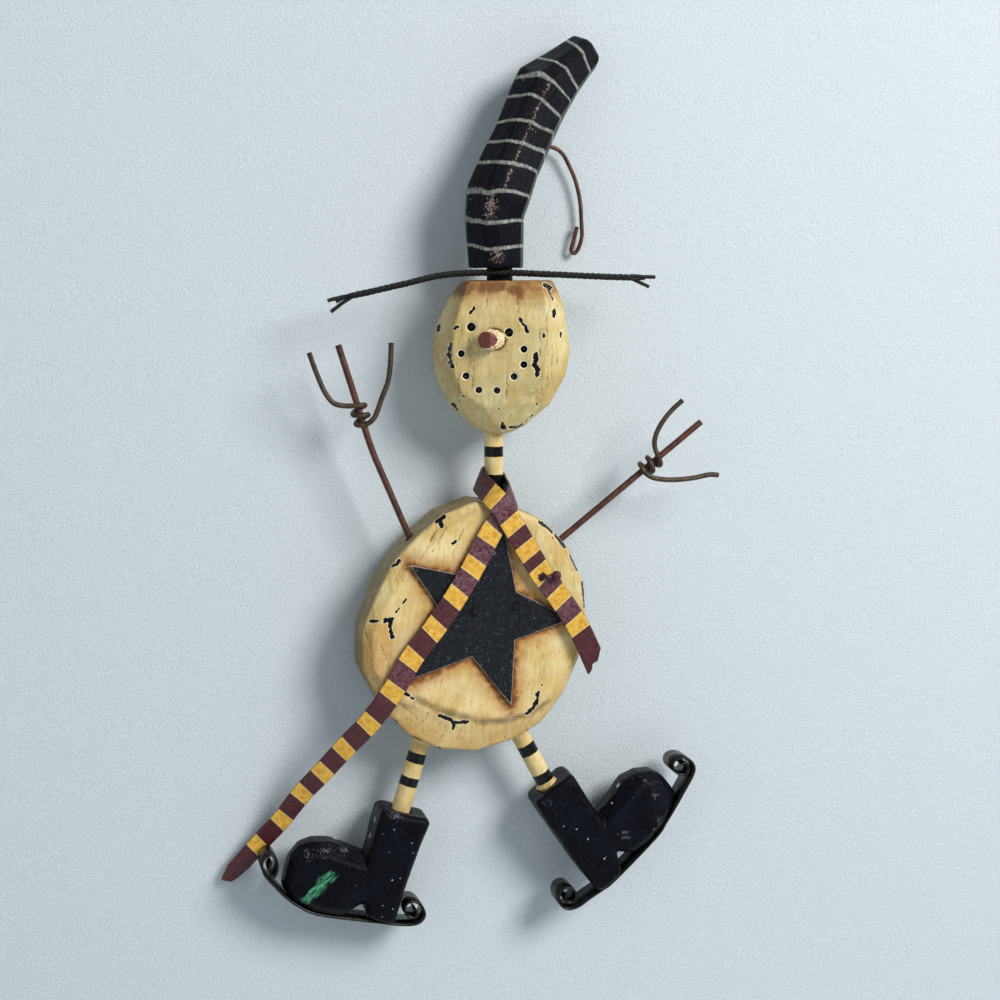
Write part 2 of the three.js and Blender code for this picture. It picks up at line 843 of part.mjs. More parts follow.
// The least gap between stretches of one wire that lie half a turn or more apart.
function leastSelfGap(curve, diameter) {
  const points = curve.getSpacedPoints(400);
  const spacing = curve.getLength() / 400;
  const apart = Math.ceil((Math.PI * (armWireDiameter + handWireDiameter)) / 2 / spacing);
  let least = Infinity;
  for (let i = 0; i < points.length; i++) {
    for (let j = i + apart; j < points.length; j++) least = Math.min(least, points[i].distanceTo(points[j]));
  }
  return least - diameter;
}

// Boots

// Eight corners of a block's cross-section, from its lows and highs, with its edges cut off: edge at a0,
// and farEdge at a1.
function cutCorners(a0, a1, b0, b1, edge, farEdge = edge) {
  return [
    [a0 + edge, b0], [a1 - farEdge, b0], [a1, b0 + farEdge], [a1, b1 - farEdge],
    [a1 - farEdge, b1], [a0 + edge, b1], [a0, b1 - edge], [a0, b0 + edge],
  ];
}

// Middle of the blade's strip seen edge-on under a boot: a roll, the runner and the other roll.
function bladeRun({ heelDrop, toeDrop, rearRoll, frontRoll }) {
  const under = seat + bladeThickness / 2;
  const [heelU, toeU] = bootBradU;
  const bends = [...rearRoll, [heelU, heelDrop + under], [toeU, toeDrop + under], ...frontRoll];
  return new THREE.SplineCurve(bends.map(([u, v]) => new THREE.Vector2(u, v))).getPoints(100);
}

// How far down the blade's upper side is under a place on the sole.
function runnerDrop(size, u) {
  const run = bladeRun(size);
  const onRunner = (point) => point.y > size.toeTop * 2;
  const next = run.findIndex((point, i) => i > 0 && run[i - 1].x <= u && point.x > u && onRunner(point));
  const [a, b] = [run[next - 1], run[next]];
  return THREE.MathUtils.lerp(a.y, b.y, (u - a.x) / (b.x - a.x)) - bladeThickness * 0.6;
}

// A boot in its own frame: the origin is the middle of the shaft's top, and the toe points to side * X.
function boot(side, size) {
  const { heelDrop, toeDrop, toeLength, toeTop, toeRise, archLift, archEnd, back, front } = size;
  const half = bootThickness / 2;
  const shaftRing = (share, inset) => {
    const at = (widths) => {
      const [from, to] = share < 0.6 ? [widths[0], widths[1]] : [widths[1], widths[2]];
      return THREE.MathUtils.lerp(from, to, share < 0.6 ? share / 0.6 : (share - 0.6) / 0.4);
    };
    return cutCorners(inset - at(back), at(front) - inset, inset - half, half - inset, shaftEdgeCut).map(
      ([u, y]) => new THREE.Vector3(side * u, y, -share * heelDrop),
    );
  };
  const shaft = loft([
    shaftRing(0, 0.8),
    shaftRing(0.035, 0),
    shaftRing(0.35, 0),
    shaftRing(0.6, 0),
    shaftRing(0.97, 0),
    shaftRing(1, 0.7),
  ]);
  // Share of the toe's length, the drop of its top, how far its underside lifts, and its half thickness
  const toeRing = (share, top, lift, deep) => {
    const u = share * toeLength;
    const overBlade = u >= archEnd ? runnerDrop(size, u) - seat : Infinity;
    const foot = Math.min(toeDrop - lift, overBlade);
    const edge = Math.min(foot - top, 2 * deep) * 0.27;
    const corners = cutCorners(top, foot, -deep, deep, edge, Math.min(edge, soleEdgeCut));
    return corners.map(([v, y]) => new THREE.Vector3(side * u, y, -v));
  };
  const archShare = archEnd / toeLength;
  const toe = loft([
    toeRing(0, toeTop + 2 + toeRise, archLift, half - 0.8),
    toeRing(archShare * 0.6, toeTop + 0.6 + toeRise, archLift * 0.7, half - 0.4),
    toeRing(archShare, toeTop + toeRise * 0.9, 0, half),
    toeRing(0.52, toeTop - 0.2 + toeRise * 0.35, 0, half),
    toeRing(0.66, toeTop - 0.3, 0, half),
    toeRing(0.82, toeTop + 0.4, 0.2, half - 0.4),
    toeRing(0.94, toeTop + 2.4, 1.2, half - 1.6),
    toeRing(1, toeTop + 5.4, 4, half - 3.2),
  ]);
  return join(shaft, toe);
}

// A blade in its boot's frame: the strip's run, given its thickness and its width.
function blade(side, size) {
  const path = bladeRun(size);
  const edges = path.map((point, i) => {
    const along = path[Math.min(i + 1, path.length - 1)].clone().sub(path[Math.max(i - 1, 0)]).normalize();
    return new THREE.Vector2(-along.y, along.x).multiplyScalar(bladeThickness / 2);
  });
  const outline = [
    ...path.map((point, i) => point.clone().add(edges[i])),
    ...path.map((point, i) => point.clone().sub(edges[i])).reverse(),
  ];
  const strip = sheet(outline.map(({ x, y }) => [side * x, -y]), bladeWidth).translate(0, bladeWidth / 2, 0);
  const holes = bootBrads(size).map(({ u, drop }) =>
    bar(flat(side * u, -drop - 3), flat(side * u, -drop + 3), bradDiameter + 2 * seat, undefined, 12),
  );
  return cut(strip, ...holes);
}

// Where the brads go up through a blade into the sole: the place along the sole and the drop of its surface.
const bootBrads = ({ heelDrop, toeDrop }) => [
  { place: "heel", u: bootBradU[0], drop: heelDrop },
  { place: "toe", u: bootBradU[1], drop: toeDrop },
];

function bootBrad(side, { u, drop }) {
  const headTop = drop + 2 * seat + bladeThickness + 0.15;
  const at = (v) => flat(side * u, -v);
  const shank = bar(at(headTop + 0.1), at(drop - bradLength / 2), bradDiameter, bradDiameter * 0.5, 12);
  const cap = bar(at(headTop + bradHeadHeight), at(headTop), bradHeadDiameter * 0.7, bradHeadDiameter, 14);
  return join(shank, cap);
}

// The figure

const figure = new THREE.Group();

function addTorso() {
  const holes = [socket(neckFoot, up, socketDepth, dowelDiameter)];
  for (const [name, { direction, rim }] of Object.entries(limbs)) {
    const isArm = name.endsWith("Arm");
    const depth = isArm ? armSocketDepth : socketDepth;
    holes.push(socket(rim, direction, depth, isArm ? armWireDiameter : dowelDiameter));
  }
  for (const [x, z] of [...Object.values(starBrads), scarfBradAt]) holes.push(bradHole(x, z));
  figure.add(piece("body", cut(bodySlab(), ...holes), paints.cream));
  figure.add(piece("star", star(), paints.star));
  for (const [side, [x, z]] of Object.entries(starBrads)) {
    figure.add(piece("star_brad_" + side, brad(x, z, bradSeatOnStarY), paints.star));
  }
  figure.add(piece("scarf", scarf(), paints.tin));
  figure.add(piece("scarf_brad", scarfBrad(), paints.tin));
  const neck = bar(
    neckFoot.clone().addScaledVector(up, seat - socketDepth),
    flat(neckX, headFootZ + socketDepth - seat),
    dowelDiameter,
  );
  figure.add(piece("neck_dowel", neck, paints.cream));
}

function addHead() {
  const turned = new THREE.Group();
  turned.position.set(neckX, 0, headFootZ);
  turned.rotation.z = headYaw;
  turned.add(piece("head", head(), paints.cream));
  turned.add(piece("nose", nose(), paints.rust));
  figure.add(turned);
}

function addHat() {
  const headTopZ = headFootZ + headHeight;
  const peg = bar(
    flat(pegX, headTopZ - socketDepth + seat),
    flat(pegX, crownFootZ + socketDepth - seat),
    pegDiameter,
  );
  figure.add(piece("hat_peg", peg, paints.black));
  const crownMesh = piece("hat_crown", crown(), paints.black);
  crownMesh.position.set(crownFootX, 0, crownFootZ);
  figure.add(crownMesh);
  const brimMesh = piece("hat_brim", brim(), paints.cord);
  brimMesh.position.set(pegX, brimY, brimZ);
  figure.add(brimMesh);
  const hook = piece("hanger_hook", wire(hookCurve(), hookWireDiameter, 80), paints.wire);
  hook.position.set(crownFootX + hookHoleX, crownBackY(), crownFootZ + hookHoleZ);
  figure.add(hook);
  return hook;
}

function addArm(side) {
  const arm = arms[side];
  const { rim } = limbs[side + "Arm"];
  const whole = new THREE.Group();
  whole.position.copy(rim);
  whole.rotation.y = degrees(90 - arm.heading);
  const bend = degrees(arm.bend);
  const bent = (distance) => flat(Math.sin(bend) * distance, arm.lower + Math.cos(bend) * distance);
  const run = new THREE.CatmullRomCurve3([
    flat(0, seat - armSocketDepth),
    flat(0, arm.lower * 0.5),
    flat(0, arm.lower - 1.5),
    bent(1.5),
    bent(arm.upper * 0.6),
    bent(arm.upper),
  ]);
  whole.add(piece(side + "_arm_wire", wire(run, armWireDiameter, 24, 10), paints.wire));
  const hand = handCurve(arm);
  const fingers = piece(side + "_hand_wire", wire(hand, handWireDiameter, 110, 6), paints.wire);
  fingers.position.set(0, 0, arm.lower);
  fingers.rotation.y = bend;
  whole.add(fingers);
  figure.add(whole);
  const gap = leastSelfGap(hand, handWireDiameter).toFixed(2);
  console.log(side + "_hand_wire: least gap between its turns " + gap + " mm");
}

function addLeg(side) {
  const { length } = legs[side];
  const { direction, rim } = limbs[side + "Leg"];
  const mirror = side === "left" ? -1 : 1;
  const top = rim.clone().addScaledVector(direction, length);
  const dowel = bar(
    rim.clone().addScaledVector(direction, seat - socketDepth),
    top.clone().addScaledVector(direction, socketDepth - seat),
    dowelDiameter,
  );
  figure.add(piece(side + "_leg_dowel", dowel, paints.cream));
  const size = boots[side];
  const whole = new THREE.Group();
  const toeward = flat(mirror).applyAxisAngle(axisY, degrees(size.tilt));
  whole.position.copy(top).addScaledVector(toeward, -size.legAt);
  whole.rotation.y = degrees(size.tilt);
  const inBoot = direction.clone().applyAxisAngle(axisY, -degrees(size.tilt));
  const legMouth = flat(mirror * size.legAt, 0);
  const legSocket = bar(
    legMouth.clone().addScaledVector(inBoot, -3),
    legMouth.clone().addScaledVector(inBoot, socketDepth),
    dowelDiameter + 2 * seat,
  );
  const bradSockets = bootBrads(size).map(({ u, drop }) => {
    const at = (v) => flat(mirror * u, -v);
    return bar(at(drop + 2), at(drop - bradLength / 2 - seat), bradDiameter + 2 * seat, undefined, 12);
  });
  whole.add(piece(side + "_boot", cut(boot(mirror, size), legSocket, ...bradSockets), paints.black));
  whole.add(piece(side + "_skate_blade", blade(mirror, size), paints.blade));
  for (const at of bootBrads(size)) {
    whole.add(piece(side + "_blade_brad_" + at.place, bootBrad(mirror, at), paints.blade));
  }
  figure.add(whole);
}

addTorso();
addHead();
const hook = addHat();
for (const side of ["left", "right"]) {
  addArm(side);
  addLeg(side);
}

// The underside of the hook's arch, at the top of its run
const archTop = hookCurve()
  .getSpacedPoints(200)
  .reduce((top, point) => (point.z > top.z ? point : top));
const hangPoint = archTop.clone().add(hook.position);
hangPoint.z -= hookWireDiameter / 2;
figure.position.copy(hangPoint).negate();

const ornament = new THREE.Group();
ornament.add(figure);

export default ornament;
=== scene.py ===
# Looks of the folk art snowman ornament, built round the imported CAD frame. Metres, +Z up, front to -Y.
import json
import math

import bmesh
import bpy
import numpy as np
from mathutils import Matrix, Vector, noise


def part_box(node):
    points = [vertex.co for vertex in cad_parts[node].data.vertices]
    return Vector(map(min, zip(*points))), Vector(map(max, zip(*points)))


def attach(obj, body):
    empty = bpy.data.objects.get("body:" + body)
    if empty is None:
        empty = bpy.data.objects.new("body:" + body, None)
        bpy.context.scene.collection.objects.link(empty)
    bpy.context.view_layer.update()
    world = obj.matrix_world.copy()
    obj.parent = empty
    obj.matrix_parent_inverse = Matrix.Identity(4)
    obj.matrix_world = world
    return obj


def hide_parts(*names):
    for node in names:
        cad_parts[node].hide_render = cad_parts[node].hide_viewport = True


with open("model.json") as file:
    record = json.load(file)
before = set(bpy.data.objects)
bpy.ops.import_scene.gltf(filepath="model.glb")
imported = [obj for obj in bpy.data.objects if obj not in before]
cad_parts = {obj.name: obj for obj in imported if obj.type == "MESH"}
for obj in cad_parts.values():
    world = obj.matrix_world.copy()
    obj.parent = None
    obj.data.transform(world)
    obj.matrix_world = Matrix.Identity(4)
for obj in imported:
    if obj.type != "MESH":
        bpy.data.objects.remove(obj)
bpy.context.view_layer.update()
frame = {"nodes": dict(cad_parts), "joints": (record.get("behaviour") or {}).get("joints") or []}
nodes = frame["nodes"]
joints = {joint["name"]: joint for joint in frame["joints"]}
mm = 0.001

# The CAD frame's origin is the hook's arch. Lengths below are in mm from the middle of the body.
hang = np.array((21.768, 11.887, 117.705))
backward = np.array((0, 1, 0))

# Clearance between touching pieces, and stock sizes, as in the CAD model
seat = 0.3
arm_wire = 1.63
hand_wire = 1.29
hook_wire = 1.02
brim_cord = 1.6
hat_peg = 6.35
strip_thickness = 0.5
# Points per bend of a wire's path
bend_steps = 24
# Edges that turn by more than this are sharp, in radians
sharp_turn = 0.9
# The head and the nose are turned to the viewer's left by this, in degrees
head_yaw = -15
# A painted patch is stored as the depth inside its edge plus this, in mm, so that 0 is far outside it.
outside = 9


def at(x, y, z):
    """A point in metres in the row frame, from mm from the middle of the body."""
    return Vector((np.array((x, y, z)) - hang) * mm)


def mm_box(node):
    """Lowest and highest corner of a CAD node, in mm from the middle of the body."""
    return [np.array(corner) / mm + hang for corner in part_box(node)]


def joint_place(name):
    return np.array(joints[name]["pos_m"]) / mm + hang


def unit(rows):
    return rows / np.linalg.norm(rows, axis=-1, keepdims=True)


def travel(path):
    """How far along a path each of its points is."""
    return np.concatenate(([0], np.cumsum(np.linalg.norm(np.diff(path, axis=0), axis=1))))


# Meshes


def show(name, mesh, body, slot, material, *stands_for):
    piece = bpy.data.objects.new(name, mesh)
    bpy.context.scene.collection.objects.link(piece)
    mesh.materials.clear()
    mesh.materials.append(material)
    mesh.shade_smooth()
    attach(piece, body)
    if stands_for:
        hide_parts(*stands_for)


def open_node(node):
    """A CAD node's mesh with its corners joined, ready for editing."""
    shell = bmesh.new()
    shell.from_mesh(nodes[node].data)
    bmesh.ops.remove_doubles(shell, verts=shell.verts, dist=1e-7)
    return shell


def ease_edges(shell, width, clamp):
    sharp = [e for e in shell.edges if len(e.link_faces) == 2 and e.calc_face_angle() > sharp_turn]
    bmesh.ops.bevel(shell, geom=sharp, offset=width * mm, segments=2, affect="EDGES", clamp_overlap=clamp)


def close_shell(shell, name):
    mesh = bpy.data.meshes.new(name)
    shell.to_mesh(mesh)
    shell.free()
    return mesh


def new_mesh(name, points, faces):
    mesh = bpy.data.meshes.new(name)
    mesh.from_pydata([Vector((p - hang) * mm) for p in points], [], faces)
    mesh.update()
    return mesh


def fix_facing(mesh):
    """Turns every face of a closed mesh outward."""
    shell = bmesh.new()
    shell.from_mesh(mesh)
    bmesh.ops.recalc_face_normals(shell, faces=shell.faces)
    shell.to_mesh(mesh)
    shell.free()


def fine_copy(node, voxel):
    """A finely meshed copy of a CAD node, which can be shaved and worn."""
    rough = close_shell(open_node(node), "rough")
    block = bpy.data.objects.new("block", rough)
    bpy.context.scene.collection.objects.link(block)
    remesh = block.modifiers.new("fine", "REMESH")
    remesh.mode = "VOXEL"
    remesh.voxel_size = voxel * mm
    seen = block.evaluated_get(bpy.context.evaluated_depsgraph_get())
    mesh = bpy.data.meshes.new_from_object(seen)
    bpy.data.objects.remove(block)
    bpy.data.meshes.remove(rough)
    return mesh


def read_points(mesh):
    points = np.empty(len(mesh.vertices) * 3)
    mesh.vertices.foreach_get("co", points)
    return points.reshape(-1, 3) / mm + hang


def write_points(mesh, points):
    mesh.vertices.foreach_set("co", ((points - hang) * mm).ravel())
    mesh.update()


def read_normals(mesh):
    normals = np.empty(len(mesh.vertices) * 3)
    mesh.vertex_normals.foreach_get("vector", normals)
    return normals.reshape(-1, 3)


def mark(mesh, name, values):
    """Gives each vertex a number that a material reads by name."""
    layer = mesh.attributes.new(name, "FLOAT", "POINT")
    layer.data.foreach_set("value", np.asarray(values, np.float32))


def outline(mesh, name, depth):
    """Marks a painted patch by how deep inside its edge each vertex is, in mm."""
    mark(mesh, name, np.maximum(np.asarray(depth) + outside, 0))


def relax(mesh, points, times):
    """Each point moves to the middle of its neighbours, as many times as asked."""
    edges = np.empty(len(mesh.edges) * 2, np.int64)
    mesh.edges.foreach_get("vertices", edges)
    a, b = edges.reshape(-1, 2).T
    count = len(points)
    near = np.maximum(np.bincount(a, minlength=count) + np.bincount(b, minlength=count), 1)
    for _ in range(times):
        total = [np.bincount(a, row[b], count) + np.bincount(b, row[a], count) for row in points.T]
        points = (np.array(total) / near).T
    return points


def unevenness(points, size, seed):
    """Smooth bumps from -1 to 1, about as wide as size, in mm; size may differ along the three axes."""
    scaled = points / np.broadcast_to(size, 3) + seed * 17.3
    return np.array([noise.noise(Vector(p)) for p in scaled])


def push_out(points, normals, depth):
    """Moves each point outward by its depth in mm."""
    return points + normals * depth[:, None]


def shave(points, cuts):
    """Knife cuts: what stands past each plane, to the depth of the bite, is taken off."""
    for spot, looks, bite in cuts:
        normal = np.array(Vector(looks).normalized())
        over = (points - np.array(spot)) @ normal
        points = points - np.outer(np.clip(over, 0, bite), normal)
    return points


def from_spot(points, x, z):
    """Distance from each point to a spot, seen from the front."""
    return np.hypot(points[:, 0] - x, points[:, 2] - z)


def far_from(points, line):
    """Distance from each point to a line through the given spots, seen from the front."""
    seen = points[:, (0, 2)]
    spots = np.array(line, float)
    gaps = []
    for start, end in zip(spots, spots[1:] if len(spots) > 1 else spots):
        run = end - start
        share = np.clip((seen - start) @ run / max(run @ run, 1e-9), 0, 1)
        gaps.append(np.linalg.norm(seen - start - np.outer(share, run), axis=1))
    return np.min(gaps, axis=0)


def worn_mesh(node, voxel, dents, dent_size, seed, cuts=()):
    """A fine copy of a node, softened, whittled and dented, with a mark for how sharp each edge is."""
    mesh = fine_copy(node, voxel)
    points = shave(relax(mesh, read_points(mesh), 2), cuts)
    if cuts:
        points = relax(mesh, points, 1)
    write_points(mesh, points)
    normals = read_normals(mesh)
    points = push_out(points, normals, dents * unevenness(points, dent_size, seed))
    crest = ((points - relax(mesh, points, 10)) * normals).sum(axis=1)
    mark(mesh, "crest", crest)
    return mesh, points, normals


def tube(path, radius, wobble, seed, sides=14):
    """A wire along a list of points, with slightly uneven radius and a mark for how near its ends are."""
    path = np.array(path, float)
    along = unit(np.gradient(path, axis=0))
    side = np.cross(along[0], (0.3, 1, 0.2))
    turns = np.arange(sides) * 2 * math.pi / sides
    rows = []
    for spot, ahead in zip(path, along):
        side = unit(side - ahead * (side @ ahead))
        ring = np.outer(np.cos(turns), side) + np.outer(np.sin(turns), np.cross(ahead, side))
        fat = radius * (1 + wobble * unevenness(spot + ring * radius, 1.1, seed))
        rows.append(spot + ring * fat[:, None])
    # The cut ends are a little narrower.
    rows = [path[0] + (rows[0] - path[0]) * 0.82, *rows, path[-1] + (rows[-1] - path[-1]) * 0.82]
    last = (len(rows) - 1) * sides
    faces = [tuple(range(sides))[::-1], tuple(range(last, last + sides))]
    for low in range(0, last, sides):
        for j in range(sides):
            after = (j + 1) % sides
            faces.append((low + j, low + after, low + sides + after, low + sides + j))
    mesh = new_mesh("tube", np.concatenate(rows), faces)
    steps = travel(path)
    steps = np.concatenate(([0], steps, [steps[-1]]))
    mark(mesh, "from_end", np.repeat(np.minimum(steps, steps[-1] - steps), sides))
    return mesh


def bent(points, step=0.45):
    """The CAD model's smooth curve through the bends of a wire, as points a step apart, or as drawn if 0."""
    spots = [np.array(p, float) for p in points]
    ends = [2 * spots[0] - spots[1], *spots, 2 * spots[-1] - spots[-2]]
    fine = []
    for before, start, end, after in zip(ends, ends[1:], ends[2:], ends[3:]):
        legs = (before, start), (start, end), (end, after)
        gaps = [max(np.linalg.norm(b - a), 1e-9) ** 0.5 for a, b in legs]
        pull = (start - before) / gaps[0] - (end - before) / (gaps[0] + gaps[1]) + (end - start) / gaps[1]
        push = (end - start) / gaps[1] - (after - start) / (gaps[1] + gaps[2]) + (after - end) / gaps[2]
        pull, push = pull * gaps[1], push * gaps[1]
        for t in np.arange(bend_steps) / bend_steps:
            cubic = (2 * start - 2 * end + pull + push) * t**3
            fine.append(cubic + (-3 * start + 3 * end - 2 * pull - push) * t * t + pull * t + start)
    fine = np.array([*fine, spots[-1]])
    if not step:
        return fine
    length = travel(fine)
    stops = np.linspace(0, length[-1], max(int(length[-1] / step), 2) + 1)
    return np.array([np.interp(stops, length, fine[:, axis]) for axis in range(3)]).T


# Materials

# Inputs that a list of values fills, in this order; other kinds of node take them as they come.
filled = {
    "TexNoise": ("Vector", "Scale", "Detail", "Roughness", "Distortion"),
    "MapRange": ("Value", "From Min", "From Max", "To Min", "To Max"),
    "Mapping": ("Vector", "Scale", "Rotation"),
    "Mix": (0, 6, 7),
}


def linear(hex_colour):
    """An sRGB hex colour as linear RGBA."""
    channels = [int(hex_colour[i : i + 2], 16) / 255 for i in (1, 3, 5)]
    return [c / 12.92 if c <= 0.04045 else ((c + 0.055) / 1.055) ** 2.4 for c in channels] + [1]


def plug(tree, node, values):
    """Links sockets to a node's inputs and sets numbers and hex colours on them."""
    for name, value in values.items():
        if isinstance(value, bpy.types.NodeSocket):
            tree.links.new(value, node.inputs[name])
        else:
            node.inputs[name].default_value = linear(value) if isinstance(value, str) else value


def add(tree, kind, *rows, out=None, **settings):
    """Adds a node for each row of values, a dict by input or a list. Returns an output of it, or of each."""
    outputs = []
    for values in rows or [()]:
        made = tree.nodes.new("ShaderNode" + kind)
        for name, value in settings.items():
            setattr(made, name, value)
        if not isinstance(values, dict):
            values = dict(zip(filled.get(kind, range(3)), values))
        plug(tree, made, values)
        outputs.append(made.outputs[out] if out else next(s for s in made.outputs if s.enabled))
    return outputs if len(rows) > 1 else outputs[0]


def start(name):
    """A new material, its node tree and its object coordinates in millimetres."""
    material = bpy.data.materials.new(name)
    material.use_nodes = True
    tree = material.node_tree
    metres = add(tree, "TexCoord", out="Object")
    return material, tree, add(tree, "VectorMath", [metres, (1000, 1000, 1000)], operation="MULTIPLY")


def layered(tree, colour, *layers):
    """A colour with others laid over it in turn, each where its share says."""
    for over, share in layers:
        colour = add(tree, "Mix", [share, colour, over], data_type="RGBA")
    return colour


def ragged(tree, name, place, size, torn, edge=0.04):
    """1 inside a patch outlined on the mesh, with an edge torn by noise of the given size in mm."""
    value = add(tree, "Attribute", out="Fac", attribute_name=name)
    tear = add(tree, "TexNoise", [place, 1 / size, 5, 0.7])
    tear = add(tree, "Math", [tear, 0.5], operation="SUBTRACT")
    value = add(tree, "Math", [tear, torn, value], operation="MULTIPLY_ADD")
    return add(tree, "MapRange", [value, outside - edge, outside + edge])


def surface(material, colour, gloss, heights, **others):
    """Sets a material's inputs and its bumps, finest first: each a height from 0 to 1 and its depth in mm."""
    tree = material.node_tree
    values = {"Base Color": colour, "Roughness": gloss}
    values.update({name.replace("_", " "): value for name, value in others.items()})
    for height, depth in heights:
        bump = {"Height": height, "Distance": depth * mm}
        if "Normal" in values:
            bump["Normal"] = values["Normal"]
        values["Normal"] = add(tree, "Bump", bump)
    plug(tree, tree.nodes["Principled BSDF"], values)
    return material


def cream_milk_paint():
    # Casein paint brushed thick over black on carved pine, chipped with a blade and rubbed with brown
    # glaze: chalky straw colour with slanting strokes, black flakes with pale torn rims, toffee glaze and
    # painted shade.
    # Bristle marks are really 0.2 mm wide, and drawn at 0.8 mm so that they show.
    material, tree, place = start("cream milk paint over black")
    glaze_and_shade, grime_and_shade, crest = [
        add(tree, "Attribute", out="Fac", attribute_name=name) for name in ("glaze_and_shade", "grime_and_shade", "crest")
    ]
    lean = (0, 0.14, 0)
    strokes_at, scratch_at = add(
        tree, "Mapping", [place, (0.8, 0.8, 7), lean], [place, (0.32, 0.32, 6), lean],
        vector_type="TEXTURE",
    )
    strokes, scratches, patches, grit, cloud, pores, gnaw = add(
        tree, "TexNoise", [strokes_at, 1, 5, 0.6], [scratch_at, 1, 2], [place, 0.13, 4, 0.55],
        [place, 1.1, 5, 0.65], [place, 0.45, 6, 0.7], [place, 1.2, 4, 0.6], [place, 0.5, 6, 0.75],
    )
    # Glaze, grime and painted shade lie where the mesh says, in clouds, and the edges are worn in bites.
    thick, gnaw = add(tree, "MapRange", [cloud, 0.3, 0.7, 0.65, 1.3], [gnaw, 0.38, 0.72, 0.42, 0.04])
    glaze_and_shade, grime_and_shade = add(tree, "Math", [glaze_and_shade, thick], [grime_and_shade, thick], operation="MULTIPLY", use_clamp=True)
    worn = add(tree, "Math", [crest, gnaw], operation="SUBTRACT")
    patch, pale, dull, deep, speck, scratch, rubbed, worn = add(
        tree, "MapRange", [patches, 0.36, 0.64], [strokes, 0.5, 0.72, 0, 0.4], [strokes, 0.47, 0.3, 0, 0.3],
        [glaze_and_shade, 0.66, 1, 0, 0.75], [pores, 0.66, 0.7, 0, 0.8], [scratches, 0.66, 0.72, 0, 0.6],
        [crest, 0.04, 0.2, 0, 0.5], [worn, 0, 0.03],
    )
    # Flakes knocked out of the paint, drilled dots and painted bands
    chip = ragged(tree, "chip", place, 1.3, 1.9)
    dot = ragged(tree, "dot", place, 0.6, 0.3, 0.03)
    band = ragged(tree, "band", place, 0.9, 0.5)
    # The toffee, dark brown and olive layers are glaze and grime, and painted shade where the mesh marks
    # shade.
    colour = layered(
        tree, "#D0B26C", ("#E8D59C", patch), ("#ECE0B2", pale), ("#A98E4A", dull), ("#AC6B2C", glaze_and_shade),
        ("#5E3014", deep), ("#6B6240", grime_and_shade), ("#6A4A22", speck), ("#7A5A2C", scratch),
        ("#7A6136", ragged(tree, "gouge", place, 1.2, 1.1, 0.1)), ("#A98346", rubbed), ("#1A1712", worn),
        ("#EFE2B8", ragged(tree, "chip_rim", place, 1.3, 1.9, 0.1)), ("#060607", chip),
        ("#E6DBBB", ragged(tree, "dot_rim", place, 0.6, 0.3, 0.06)), ("#040405", dot), ("#050507", band),
    )
    # The black shows as smoother enamel.
    black = add(tree, "Math", [chip, dot], operation="MAXIMUM")
    black = add(tree, "Math", [black, band], operation="MAXIMUM")
    gloss, hollow = add(tree, "MapRange", [grit, 0.3, 0.7, 0.4, 0.62], [chip, 0, 1, 1, 0])
    gloss = add(tree, "Mix", {0: black, 2: gloss, 3: 0.22})
    heights = [(grit, 0.08), (strokes, 0.14), (hollow, 0.12)]
    return surface(material, colour, gloss, heights, Specular_IOR_Level=0.3)


